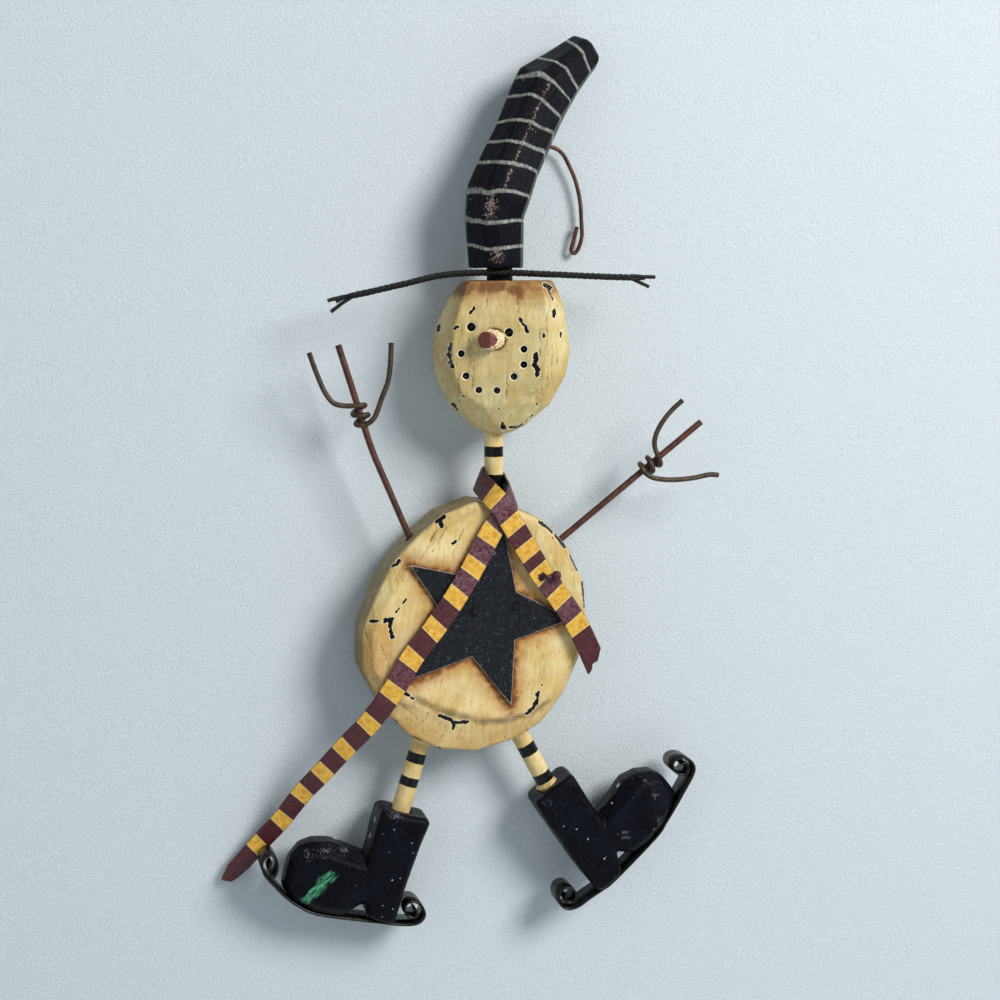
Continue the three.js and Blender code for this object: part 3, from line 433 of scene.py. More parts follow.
def blue_black_paint(name, stripes):
    # Blue-black acrylic brushed over carved pine: semi-gloss, streaked by the brush, with the edges
    # rubbed through to greyish wood, tiny pale nicks, and thin dry-brushed silver stripes on the hat.
    material, tree, place = start(name)
    crest = add(tree, "Attribute", out="Fac", attribute_name="crest")
    if stripes:
        along = add(tree, "Attribute", out="Fac", attribute_name="along")
        across = add(tree, "Attribute", out="Fac", attribute_name="across")
        grain_at = add(tree, "CombineXYZ", [across, 0.0, along])
        grain_at = add(tree, "VectorMath", [grain_at, (2.6, 1, 0.2)], operation="MULTIPLY")
    else:
        grain_at = add(tree, "Mapping", [place, (1.3, 1.3, 0.6)])
    streaks, grit, patches, gnaw, crumb, chosen = add(
        tree, "TexNoise", [grain_at, 1, 6, 0.65], [place, 1.2, 5, 0.7], [place, 0.16, 4, 0.6],
        [place, 0.8, 6, 0.75], [place, 1.5, 3, 0.7], [place, 0.3, 2],
    )
    nicks = add(tree, "TexVoronoi", {"Vector": place, "Scale": 0.42, "Randomness": 1}, out="Distance")
    gnaw = add(tree, "MapRange", [gnaw, 0.4, 0.7, 0.34, 0.07])
    worn = add(tree, "Math", [crest, gnaw], operation="SUBTRACT")
    patch, violet, haze, worn, crumb, nick, chosen, gloss = add(
        tree, "MapRange", [patches, 0.35, 0.65], [streaks, 0.5, 0.72, 0, 0.6], [grit, 0.6, 0.76, 0, 0.35],
        [worn, 0.04, 0.12, 0, 0.34], [crumb, 0.5, 0.62], [nicks, 0.085, 0.05], [chosen, 0.5, 0.62],
        [streaks, 0.3, 0.7, 0.22, 0.4],
    )
    # Edges are rubbed through in crumbs, and nicks are in some places only.
    worn, nick = add(tree, "Math", [worn, crumb], [nick, chosen], operation="MULTIPLY")
    layers = [("#070A15", patch), ("#11121C", violet), ("#343848", haze), ("#7D757C", worn)]
    layers.append(("#A9A7A4", nick))
    if stripes:
        dry = add(tree, "TexNoise", [grain_at, 1.6, 5, 0.8])
        dry = add(tree, "MapRange", [dry, 0.38, 0.6, 0.15, 1])
        stripe = ragged(tree, "stripe", grain_at, 0.7, 0.9, 0.12)
        stripe = add(tree, "Math", [stripe, dry], operation="MULTIPLY")
        silver = layered(tree, "#7D8480", ("#BEC1B6", add(tree, "MapRange", [grit, 0.4, 0.6])))
        layers += [(silver, stripe), ("#85736D", ragged(tree, "scrape", place, 0.6, 5, 0.15))]
    else:
        # The smear is green paint; its pale green streaks are painted highlights.
        wet_at = add(tree, "Mapping", [place, (0.5, 1, 2.4), (0, 0.85, 0)], vector_type="TEXTURE")
        wet = add(tree, "MapRange", [add(tree, "TexNoise", [wet_at, 1, 5, 0.7]), 0.42, 0.6])
        green = layered(tree, "#0A2A1E", ("#56A87B", wet))
        layers += [
            (green, ragged(tree, "smear", wet_at, 1, 4, 0.6)),
            ("#5A5B66", ragged(tree, "scuff", place, 0.7, 6, 0.3)),
            ("#C4C5C6", ragged(tree, "lace", place, 0.6, 0.5, 0.08)),
        ]
    colour = layered(tree, "#020308", *layers)
    return surface(material, colour, gloss, [(grit, 0.16), (streaks, 0.2)], Specular_IOR_Level=0.1)


def banded_enamel():
    # Gloss enamel over tin strip, maroon with mustard bands laid by hand: hard wet highlights broken
    # up by brush ridges, a thin raised pale lip where one colour overlaps the other, black inside.
    material, tree, place = start("maroon and mustard enamel on tin")
    ripple, grit, glare_mottle = add(
        tree, "TexNoise", [place, 0.75, 5, 0.65], [place, 3.2, 3, 0.6], [place, 1.3, 5, 0.7, 0.8],
    )
    glare_mottle, worked, speck, gloss = add(
        tree, "MapRange", [glare_mottle, 0.42, 0.62], [ripple, 0.35, 0.65], [grit, 0.68, 0.74, 0, 0.5],
        [ripple, 0.3, 0.7, 0.2, 0.42],
    )
    # A pale mottle of painted glare lies on the maroon where the strip faces the light most.
    glare = add(tree, "Attribute", out="Fac", attribute_name="glare")
    glare_mottle = add(tree, "Math", [glare, glare_mottle], operation="MULTIPLY")
    mustard = layered(tree, "#C98F2A", ("#EBBC4A", worked), ("#8A5A18", speck))
    # 7C5560 is the painted glare on the maroon.
    colour = layered(
        tree, "#350B0F", ("#54161D", ripple), ("#7C5560", glare_mottle),
        ("#E8CE86", ragged(tree, "band_lip", place, 0.9, 0.3, 0.06)),
        (mustard, ragged(tree, "band", place, 0.9, 0.3)),
        ("#2A1412", ragged(tree, "edge", place, 0.7, 0.5, 0.1)),
        ("#15110F", ragged(tree, "inside", place, 0.8, 0.3, 0.05)),
    )
    return surface(material, colour, gloss, [(grit, 0.04), (ripple, 0.3)], Specular_IOR_Level=0.5)


def crinkle_paint():
    # Thick blue-black paint that crinkled as it dried on sheet tin: fine puckers with painted glints on the
    # highest, and a pale line where the cut edge is rubbed bare.
    material, tree, place = start("blue-black crinkle paint on tin")
    pucker, patches = add(tree, "TexNoise", [place, 0.95, 4, 0.6, 2.2], [place, 0.12, 4])
    high, gloss = add(tree, "MapRange", [pucker, 0.63, 0.7, 0, 0.7], [pucker, 0.35, 0.65, 0.4, 0.18])
    bare = ragged(tree, "edge", place, 1.2, 0.5, 0.05)
    # 7C8498 on the highest puckers is painted glints.
    colour = layered(tree, "#03060B", ("#0A101A", patches), ("#7C8498", high), ("#A79C8C", bare))
    return surface(material, colour, gloss, [(pucker, 0.6)], Specular_IOR_Level=0.28)


def rusty_iron(name, dark, light):
    # Annealed iron wire left to rust and waxed: chocolate brown with redder patches, a soft metal
    # line along the lit side, and black cut ends.
    material, tree, place = start(name)
    patches, pits = add(tree, "TexNoise", [place, 0.5, 5, 0.65], [place, 3.5, 4, 0.7])
    ends = add(tree, "Attribute", out="Fac", attribute_name="from_end")
    share, pit, bright, cut, gloss = add(
        tree, "MapRange", [patches, 0.35, 0.65], [pits, 0.56, 0.72, 0, 0.6], [pits, 0.4, 0.28, 0, 0.5],
        [ends, 0.7, 0.1, 0, 0.8], [pits, 0.3, 0.7, 0.36, 0.6],
    )
    colour = layered(tree, dark, (light, share), ("#33211B", pit), ("#A0745A", bright), ("#1C1513", cut))
    return surface(material, colour, gloss, [(pits, 0.05), (patches, 0.1)], Metallic=0.45)


def blackened_strand():
    # Thin iron strands twisted together and blacked: nearly matt, sooty, with a dull grey line where
    # each strand stands out.
    material, tree, place = start("blackened twisted wire")
    soot = add(tree, "TexNoise", [place, 2.2, 5, 0.75])
    ends = add(tree, "Attribute", out="Fac", attribute_name="from_end")
    share, cut, gloss = add(
        tree, "MapRange", [soot, 0.5, 0.8, 0, 0.7], [ends, 0.5, 0.1, 0, 0.6], [soot, 0.3, 0.7, 0.55, 0.3],
    )
    colour = layered(tree, "#050508", ("#24252D", share), ("#3A2F2B", cut))
    return surface(material, colour, gloss, [(soot, 0.16)], Specular_IOR_Level=0.3)


def black_japan():
    # Tin strip dipped in black japan: deep gloss that shows the bends, with brown-grey rubs on edges.
    material, tree, place = start("black japanned tin strip")
    haze, grit = add(tree, "TexNoise", [place, 0.6, 5, 0.65], [place, 1.6, 4, 0.7])
    share, fleck, rub, gloss = add(
        tree, "MapRange", [haze, 0.4, 0.7], [grit, 0.64, 0.72, 0, 0.5], [haze, 0.62, 0.72, 0, 0.6],
        [haze, 0.3, 0.7, 0.2, 0.38],
    )
    colour = layered(tree, "#040405", ("#0D0E12", share), ("#4A4642", fleck), ("#2C2624", rub))
    return surface(material, colour, gloss, [(grit, 0.03), (haze, 0.1)], Specular_IOR_Level=0.35)


def broken_peg():
    # Dowel end painted rust red, split down one side: brick-coloured skin against raw pale splinters
    # streaked with the cream and ochre that ran into them.
    material, tree, place = start("rust paint on split dowel")
    fibre_at = add(tree, "Mapping", [place, (0.9, 0.9, 3.4), (0, 0.9, 0)])
    grit, fibre = add(tree, "TexNoise", [place, 1.7, 4, 0.65], [fibre_at, 1, 5, 0.7])
    share, pale, crack = add(
        tree, "MapRange", [grit, 0.35, 0.68], [fibre, 0.42, 0.56], [fibre, 0.44, 0.37, 0, 0.85],
    )
    wood = layered(tree, "#B98A35", ("#F0E6C8", pale), ("#4A2E16", crack))
    run_paint = layered(tree, "#D8BC78", ("#F2E6BE", fibre))
    colour = layered(
        tree, "#54211A", ("#84402F", share), (wood, ragged(tree, "split", place, 0.8, 0.3, 0.05)),
        (run_paint, ragged(tree, "foot", place, 0.8, 0.3, 0.05)),
    )
    return surface(material, colour, 0.5, [(grit, 0.05), (fibre, 0.16)])


def dried_glue():
    # A fillet of cream paint and glue that ran down the leg: rounded, a little glossier than the wood.
    material, tree, place = start("cream glue fillet")
    cloud = add(tree, "TexNoise", [place, 0.8, 4, 0.6])
    share, gloss = add(tree, "MapRange", [cloud, 0.35, 0.65], [cloud, 0, 1, 0.3, 0.5])
    return surface(material, layered(tree, "#B9935A", ("#E6D3A0", share)), gloss, [(cloud, 0.15)])


cream = cream_milk_paint()
hat_paint = blue_black_paint("blue-black paint with silver stripes", True)
boot_paint = blue_black_paint("blue-black boot paint", False)
enamel = banded_enamel()
crinkle = crinkle_paint()
arm_rust = rusty_iron("rusty iron wire", "#3A221A", "#663C2B")
hand_rust = rusty_iron("dark annealed iron wire", "#2B221B", "#57452F")
hook_rust = rusty_iron("coppery rusty wire", "#35211A", "#693F29")
strand_black = blackened_strand()
japan = black_japan()
peg_paint = broken_peg()
glue = dried_glue()


# Painted marks, in mm from the middle of the body: lines of (x, z) on the front, and half their width

body_chips = [
    ([(-10.1, 26.7), (-8.9, 27.2), (-8.1, 27.9)], 0.5), ([(-8.9, 27.2), (-9.1, 25.8)], 0.55),
    ([(-6.3, 21.4), (-5.6, 21.6)], 0.4), ([(-21.2, 15.9), (-20.1, 16.4), (-19.4, 17.1)], 0.42),
    ([(-18, 8), (-18.9, 6.8), (-19.8, 5.6), (-20.5, 4.9)], 0.2),
    ([(-23.3, 2.8), (-21.5, 3.2), (-22, 1.5), (-21.6, -1.2)], 0.5), ([(-26.7, 2.7), (-25, 2.8)], 0.32),
    ([(-18.4, -15.3), (-16.2, -16.9)], 0.36),
    ([(-9.7, -21.5), (-7.2, -22.7), (-6.2, -23.5), (-2.7, -23.4)], 0.45),
    ([(-6.2, -23.5), (-6.2, -25.2)], 0.4),
    ([(15.2, -17), (14.9, -18.8), (14.2, -20.5), (12.4, -22.1)], 0.5), ([(16.2, -15)], 0.3),
    ([(15.9, 25.7), (17.3, 24.9), (19.1, 23.3)], 0.5), ([(20.3, 22.4), (22, 19.8)], 0.7),
    ([(23.9, 17), (24.7, 15.4), (25.6, 13.6)], 0.6), ([(26.6, 10), (27.1, 6.9), (27.5, 4.3)], 0.6),
    ([(25.6, -9.8), (24.2, -14.6), (20.4, -20.6)], 0.32), ([(8.9, -22.7)], 0.28), ([(13.5, -25.7)], 0.2),
]
head_chips = [
    ([(-1.1, 78.6), (-1.8, 77.6), (-2.1, 77.1)], 0.3), ([(-5.9, 73.6), (-4.9, 74.1)], 0.26),
    ([(-8.6, 74.1), (-8.8, 72.9)], 0.24),
    ([(-6.6, 70.2), (-6.9, 68.3), (-7.3, 67.2), (-7.9, 66.8)], 0.32),
    ([(-6.9, 67.6), (-6.7, 65.9), (-6.2, 64.3)], 0.36),
    ([(9.5, 75.9), (9.9, 75), (10.7, 73.8), (11.1, 72.8)], 0.4), ([(15.1, 72.5), (14.8, 71.6)], 0.28),
    ([(18, 77.5), (18, 76.5)], 0.55), ([(18, 80.3), (17.3, 82), (16.4, 83.5)], 0.24),
    ([(16, 84), (17.5, 83.3)], 0.5),
    ([(13.1, 67.3), (13.2, 65.9), (12.8, 64.9), (13.6, 63.5), (13.4, 62.5)], 0.58),
    ([(19.8, 72.7), (19.9, 71.3)], 0.22), ([(-5.3, 55), (-4.7, 54), (-4.1, 53.1)], 0.5),
    ([(-3.6, 57.1)], 0.3), ([(-4.1, 56.2)], 0.28), ([(4.8, 54)], 0.26),
    ([(6.2, 50.4), (6.5, 49.5), (7, 48.9)], 0.5), ([(8.5, 49.2), (10.2, 49.2), (11.5, 49.7)], 0.45),
    ([(12.3, 50.7), (13.5, 52.1)], 0.26), ([(14.3, 55)], 0.24), ([(14.7, 53.8)], 0.24),
]
# Scores of the knife and the brush, as lines of (x, z)
head_gouges = [
    [(15.7, 76.4), (15.8, 69.7), (16.4, 58.9)], [(13.9, 73.8), (14.1, 66), (15.2, 57)],
    [(18.3, 71.9), (19, 64.7)], [(6.3, 62.2), (6.6, 55.9)], [(-2.2, 76.1), (-2.9, 61.2)],
    [(-1.2, 68), (-1.6, 59.5)], [(17.2, 70.5), (17.4, 62)], [(-5.5, 66), (-4.6, 58)],
    [(2.5, 83.5), (1.6, 78.5)], [(8.9, 83), (9.2, 77.5)],
]
body_gouges = [
    [(-11.5, 19.4), (-7.7, 25.6)], [(-14.5, 17.5), (-10.3, 24.6)], [(5.5, -6.9), (8.5, -11.4)],
    [(14.1, -3.5), (16.9, -9.2)], [(-28.2, 1.1), (-26.5, -5.6)], [(-8.1, -23.8), (-9.4, -28.3)],
    [(-2, -25.1), (-1.8, -29.4)], [(5.5, -23.3), (7.4, -28.5)], [(-20.9, -17), (-14.5, -23)],
    [(-4.4, -24.2), (-5.4, -28.8)], [(0.8, -24.6), (1.6, -29.2)], [(10.2, -22.6), (12.6, -27)],
    [(-12.6, -20.8), (-14.6, -24.4)], [(19.5, 13), (22.5, 5)], [(18.2, 18.5), (20.6, 12.5)],
    [(-24.2, -3), (-22.2, -9.6)], [(-3.6, 24.8), (-6.9, 17.8)], [(-20.8, 12.2), (-17.4, 18)],
    [(13.5, -13.5), (9.6, -18.6)],
]
# Dots for laces, stray specks and scuffed places on the boots, in mm: each a middle and a radius
lace_dots = {
    "left": [((-25, -1, -48.8), 0.75), ((-26.1, -0.2, -53), 0.75), ((-34.6, 1.9, -53.9), 0.65)],
    "right": [((38, -1.3, -43.7), 0.65)],
}
stray_specks = {
    "left": [
        (-21, -50.2), (-22.3, -56), (-16.5, -53.9), (-16.3, -56.4), (-19.6, -62.6), (-21.6, -63),
        (-23.9, -69.5),
    ],
    "right": [(22.4, -52.1), (25.9, -53.2), (28.8, -55.9), (33.2, -61.3), (35.8, -47.6)],
}
scuffs = {
    "left": [
        ((-42.3, -4.8, -55.3), 1.1), ((-38.1, -4.4, -54.6), 1.2), ((-33.2, -3.3, -55.1), 1.1),
        ((-20.5, -5.5, -46.6), 1.3),
    ],
    "right": [
        ((44, -4.5, -41.8), 0.8), ((46.6, -5.6, -45.6), 0.9), ((47.1, -6, -52.1), 0.8),
        ((38.6, -6, -55.5), 0.8), ((18.6, -5.6, -46), 0.8),
    ],
}
green_smear = [(-42.9, -66.6), (-41.7, -65.4), (-40, -63.9), (-38.8, -62.2), (-37.1, -61)]
star_outline = [
    (6, 26.3), (-5.8, 13.9), (-17.3, 16.5), (-10.7, 6.4), (-16.6, -11.7), (-1.8, -6.9), (8.2, -19.7),
    (9.1, -3.2), (23.6, 1.5), (9.5, 8.9), (6, 26.3),
]


def knock_chips(mesh, points, normals, chips, gouges, deepest_y):
    """Marks flakes knocked out of the paint and the tool's gouges, and sinks the surface a little there."""
    sink = 0.12
    scored = np.min([far_from(points, line) for line in gouges], axis=0)
    scored += np.where(normals[:, 1] < -0.2, 0, outside)
    outline(mesh, "gouge", 0.06 - scored)
    points = push_out(points, normals, -sink * np.clip(1 - scored / 0.45, 0, 1))
    level = np.max([half - far_from(points, line) for line, half in chips], axis=0)
    # They fade toward the back and round the side walls.
    level -= np.maximum(points[:, 1] - deepest_y, 0) * 2
    level -= np.maximum(normals[:, 1] + 0.42, 0) * 1.7
    outline(mesh, "chip", level)
    outline(mesh, "chip_rim", level + 0.16)
    return push_out(points, normals, -sink * np.clip(level / 0.3 + 0.5, 0, 1))


# Pieces


def make_body():
    mesh, points, normals = worn_mesh("body", voxel=0.36, dents=0.22, dent_size=(7, 9, 5), seed=3)
    front = np.clip(-normals[:, 1], 0, 1)
    # Fibres torn up along the cuts round the rim
    slanted = np.clip(1 - abs(front - 0.75) * 4, 0, 1)
    points = push_out(points, normals, 0.16 * slanted * unevenness(points, (1, 2, 4.5), 5))
    # The groove where the rim's cuts meet the face below
    groove = [
        (-15.7, -17), (-10.7, -19.7), (-5.2, -21.8), (0.4, -23.6), (6.7, -23.7), (13.1, -22.5),
        (17.7, -19.9),
    ]
    crease = far_from(points, groove) + 0.5 * unevenness(points, (1.5, 4, 4), 6)
    sunk = 0.22 * np.clip(1.3 - crease, 0, 1) * (front > 0.3)
    points = knock_chips(mesh, push_out(points, normals, -sunk), normals, body_chips, body_gouges, -4.5)
    write_points(mesh, points)
    # The brown beside the star and round the rim is glaze, while the brown and olive laid on the side walls,
    # in the groove, toward the bottom and at the lower left are painted shade.
    beside_star = np.clip(1 - far_from(points, star_outline) / 4.8, 0, 1) ** 1.3 * (front > 0.5)
    rim = np.clip((from_spot(points, 0, 0) - 23) / 6, 0, 1)
    low_left = np.clip(1 - from_spot(points, -23, -6) / 17, 0, 1)
    side = np.clip(1 - front * 1.9, 0, 1)
    below = np.clip((8 - points[:, 2]) / 30, 0, 1)
    glaze_and_shade = 0.95 * beside_star + 0.14 * rim + 0.2 * below + 0.4 * low_left + 0.12 * side
    glaze_and_shade += 0.25 * np.clip(1.2 - crease / 1.3, 0, 1) * (front > 0.3)
    mark(mesh, "grime_and_shade", 0.8 * side + 0.7 * np.clip(1.1 - crease / 1.2, 0, 1) * (front > 0.3))
    mark(mesh, "glaze_and_shade", glaze_and_shade)
    # The drilled holes of the arms are black inside.
    holes = [joint_place(side + "_arm_swivel") for side in ("left", "right")]
    near = np.min([np.linalg.norm(points - hole, axis=1) for hole in holes], axis=0)
    outline(mesh, "dot", 1.55 - near)
    show("body_block", mesh, "snowman", "cream_painted_wood", cream, "body")


def make_head():
    yaw = math.radians(head_yaw)
    looks = np.array((math.sin(yaw), -math.cos(yaw), 0))
    low, high = mm_box("head")
    cuts = [
        # The two facets of the chin, the cheek, and the middle of the brow
        ((0.2, -6.9, 53.8), (-0.42, -0.72, -0.55), 0.8), ((8.3, -8.5, 52.6), (0.08, -0.85, -0.53), 0.8),
        ((-7.2, -5.4, 60), (-0.8, -0.5, -0.25), 0.45), ((5, -8.9, 82.5), (-0.17, -0.93, 0.32), 0.8),
    ]
    mesh, points, normals = worn_mesh("head", voxel=0.3, dents=0.16, dent_size=(6, 6, 9), seed=8, cuts=cuts)
    points = push_out(points, normals, 0.05 * unevenness(points, (0.9, 0.9, 7), 9))
    points = knock_chips(mesh, points, normals, head_chips, head_gouges, -1.5)
    write_points(mesh, points)
    top = np.clip((points[:, 2] - (high[2] - 6.5)) / 4.5, 0, 1) ** 1.3
    blots = [(-3.2, 82.8, 3.2), (9.2, 81.4, 3), (3, 84.5, 4)]
    blot = sum(np.clip(1 - from_spot(points, x, z) / r, 0, 1) for x, z, r in blots)
    bottom = np.clip((low[2] + 6 - points[:, 2]) / 6, 0, 1)
    side = np.clip(-normals[:, 0] - 0.35, 0, 1)
    behind = np.clip(normals[:, 1], 0, 1)
    # The brown at the top and in blots is glaze and the olive over all is grime; the darker bottom, left side
    # and back are painted shade.
    mark(mesh, "glaze_and_shade", 0.82 * top + 0.6 * blot + 0.06 * bottom + 0.1 * side + 0.15 * behind)
    mark(mesh, "grime_and_shade", 0.25 + 0.25 * side + 0.05 * behind)
    # Eyes and mouth: drilled dots, placed from the neck's axis and the head's underside, turned with it
    eyes = [(-5, 26.4), (4.1, 25.1)]
    mouth = [(-7.4, 20), (-6.3, 14.6), (-3.2, 11.2), (1.2, 11.1), (5.3, 14.5), (7.7, 17.4), (7.7, 21.1)]
    neck_x = sum(mm_box("neck_dowel"))[0] / 2
    sideways = (points[:, 0] - neck_x) * math.cos(yaw) + points[:, 1] * math.sin(yaw)
    upright = points[:, 2] - low[2]
    dots = [(x, z, radius) for spots, radius in ((eyes, 1.05), (mouth, 0.84)) for x, z in spots]
    level = np.max([radius - np.hypot(sideways - x, upright - z) for x, z, radius in dots], axis=0)
    level = np.where(points @ looks > 6, level, -outside)
    outline(mesh, "dot", level)
    outline(mesh, "dot_rim", level + 0.24)
    show("head_block", mesh, "snowman", "cream_painted_wood", cream, "head")


def make_dowel(node, bands, seed):
    """A dowel with painted bands, each given by its ends along the dowel from its middle, in mm."""
    mesh, points, _ = worn_mesh(node, voxel=0.26, dents=0.06, dent_size=(2, 2, 5), seed=seed)
    middle = points.mean(axis=0)
    axis = np.linalg.svd(points - middle, full_matrices=False)[2][0]
    axis = axis if axis[2] < 0 else -axis
    along = (points - middle) @ axis
    write_points(mesh, points)
    outline(mesh, "band", np.max([np.minimum(along - first, last - along) for first, last in bands], axis=0))
    mark(mesh, "glaze_and_shade", 0.1 + 0.25 * np.clip(unevenness(points, 3, seed), 0, 1))
    show(node + "_painted", mesh, "snowman", "cream_painted_wood", cream, node)
    return middle, axis


def make_crown():
    mesh, points, normals = worn_mesh("hat_crown", voxel=0.34, dents=0.14, dent_size=(5, 5, 9), seed=12)
    low, _ = mm_box("hat_crown")
    foot = np.array((6.1, 0, low[2]))
    # Middles of the whittled bends up the crown, and the half width at each
    bends = np.array([
        (0, 0, 0, 7.2), (-0.3, 0, 12.3, 7.7), (0.6, 0.4, 17.3, 8.4), (3.6, 1.2, 24.5, 8),
        (6.5, 2.2, 30.1, 7.7), (9.1, 3.4, 35.5, 7.8), (11, 4.3, 39.2, 8), (13, 5.3, 43, 8.4),
        (18.9, 7.2, 48.3, 6.4), (24.7, 9, 53.4, 5), (25.5, 9.3, 54.1, 4),
    ])
    nearest = np.full(len(points), np.inf)
    along = np.zeros(len(points))
    across = np.zeros(len(points))
    passed = 0
    for (*start, wide), (*end, narrow) in zip(bends, bends[1:]):
        start, end = np.array(start) + foot, np.array(end) + foot
        run = end - start
        length = np.linalg.norm(run)
        share = (points - start) @ run / length**2
        held = np.clip(share, 0, 1)
        gap = np.linalg.norm(points - start - np.outer(held, run), axis=1)
        side = unit(np.cross(backward, run))
        sideways = (points - start) @ side / (wide + (narrow - wide) * held)
        here = gap < nearest
        nearest = np.where(here, gap, nearest)
        along = np.where(here, passed + held * length, along)
        across = np.where(here, sideways, across)
        passed += length
    along, across, _ = relax(mesh, np.stack((along, across, across), axis=1), 14).T
    # Heights along the hat of each stripe at its left edge, at the front and at its right edge
    stripes = [
        (5.8, 4.7, 5.1), (11.7, 10.8, 11.5), (16.8, 16.8, 19.4), (22.9, 24, 25.9), (27.7, 29.2, 31.2),
        (33.4, 34.8, 36.1), (40.2, 41.6, 41), (45.3, 46.3, 47.3), (50.8, 51.8, 52.3), (60, 59.4, 58.4),
    ]
    hand = 0.28 * unevenness(points, 4, 21)
    middles = [np.interp(across, (-0.94, -0.45, 0.65), stripe) + hand for stripe in stripes]
    outline(mesh, "stripe", 0.4 - np.min([abs(along - middle) for middle in middles], axis=0))
    mark(mesh, "along", along)
    # The flat end of the tip has no grain of its own.
    before_tip = np.clip(62.6 - along, 0, 1)
    # Half the hat's width, which turns the share across it into mm
    half_width = 8
    mark(mesh, "across", across * half_width * before_tip)
    # Bare wood along the front ridge, above the brim and at the foot
    ridge = np.where((along > 17) & (along < 46), -0.05 - abs(across + 0.1) * 8, -outside)
    patch = 0.4 - np.hypot((across + 0.34) * 4.2, (along - 13.8) * 0.3)
    foot_patch = 0.25 - np.hypot((across + 0.14) * 3, (along - 3) * 0.4)
    scrape = np.max([ridge, patch, foot_patch], axis=0)
    outline(mesh, "scrape", np.where(normals[:, 1] < 0, scrape, -outside))
    grain = unevenness(np.stack((across * half_width, along, across * 0), 1), (0.8, 9, 1), 4)
    write_points(mesh, push_out(points, normals, 0.06 * grain * before_tip))
    show("hat_crown_whittled", mesh, "snowman", "black_painted_wood", hat_paint, "hat_crown")


def make_boot(side, seed):
    node = side + "_boot"
    mesh, points, normals = worn_mesh(node, voxel=0.34, dents=0.3, dent_size=5.5, seed=seed)
    points = push_out(points, normals, 0.05 * unevenness(points, 1.6, seed + 1))
    write_points(mesh, points)
    levels = []
    for spot, radius in lace_dots[side]:
        away = points - spot
        deep = (away * normals).sum(axis=1)
        flat = np.linalg.norm(away - normals * deep[:, None], axis=1)
        levels.append(radius - flat - (abs(deep) > 1.4) * outside)
    for x, z in stray_specks[side]:
        levels.append(0.2 - from_spot(points, x, z) - np.maximum(points[:, 1], 0))
    outline(mesh, "lace", np.max(levels, axis=0))
    rubs = [(radius - np.linalg.norm(points - spot, axis=1)) * 0.5 - 0.45 for spot, radius in scuffs[side]]
    outline(mesh, "scuff", np.max(rubs, axis=0))
    outline(mesh, "smear", 0.9 - far_from(points, green_smear) - np.maximum(points[:, 1] + 3, 0))
    show(node + "_whittled", mesh, "snowman", "black_painted_wood", boot_paint, node)


def make_nose():
    mesh, points, normals = worn_mesh("nose", voxel=0.14, dents=0.1, dent_size=0.9, seed=30)
    low, high = mm_box("nose")
    # The peg leans further to the left than the face looks.
    lean = math.radians(head_yaw - 22)
    out = np.array((math.sin(lean), -math.cos(lean), 0))
    right = np.array((math.cos(lean), math.sin(lean), 0))
    middle = (low + high) / 2
    reach = (points - middle) @ out
    sideways = (points - middle) @ right
    splinter = np.clip((sideways - 0.3) / 0.6, 0, 1) * unevenness(points, (0.5, 0.5, 0.3), 31)
    write_points(mesh, push_out(points, normals, 0.22 * splinter))
    upright = points[:, 2] - middle[2] - 0.1
    outline(mesh, "split", np.hypot(np.maximum(sideways - 0.4, 0), upright) - 1.95)
    outline(mesh, "foot", np.where(normals @ out < 0.5, reach.max() - reach - 3.4, -2))
    show("nose_stub", mesh, "snowman", "rust_painted_wood", peg_paint, "nose")


def make_star():
    shell = open_node("star")
    ease_edges(shell, width=0.1, clamp=False)
    # Cut into a fine grid, so that its face can pucker
    cell = 0.55
    low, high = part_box("star")
    for axis in (0, 2):
        normal = np.eye(3)[axis]
        for place in np.arange(low[axis] + 0.3 * mm, high[axis], cell * mm):
            geom = [*shell.verts, *shell.edges, *shell.faces]
            bmesh.ops.bisect_plane(shell, geom=geom, plane_co=normal * place, plane_no=normal, dist=1e-8)
    mesh = close_shell(shell, "star")
    points = read_points(mesh)
    front = read_normals(mesh)[:, 1] < -0.5
    depth = 0.07 * unevenness(points, 1.3, 41) + 0.05 * unevenness(points, 5, 42)
    points[:, 1] += np.where(front, depth, 0)
    write_points(mesh, points)
    outline(mesh, "edge", 0.17 - far_from(points, star_outline) + np.where(front, 0, -0.25))
    show("star_sheet", mesh, "snowman", "blue_black_painted_tin", crinkle, "star")


def make_blade(side):
    """The rolled strip under a boot, with its cut edges eased."""
    node = side + "_skate_blade"
    shell = open_node(node)
    bmesh.ops.dissolve_limit(shell, angle_limit=0.01, verts=shell.verts, edges=shell.edges)
    ease_edges(shell, width=0.12, clamp=True)
    bmesh.ops.triangulate(shell, faces=[f for f in shell.faces if len(f.verts) > 4])
    mesh = close_shell(shell, node)
    show(node + "_eased", mesh, "snowman", "black_painted_strip", japan, node)
    mesh.set_sharp_from_angle(angle=math.radians(50))


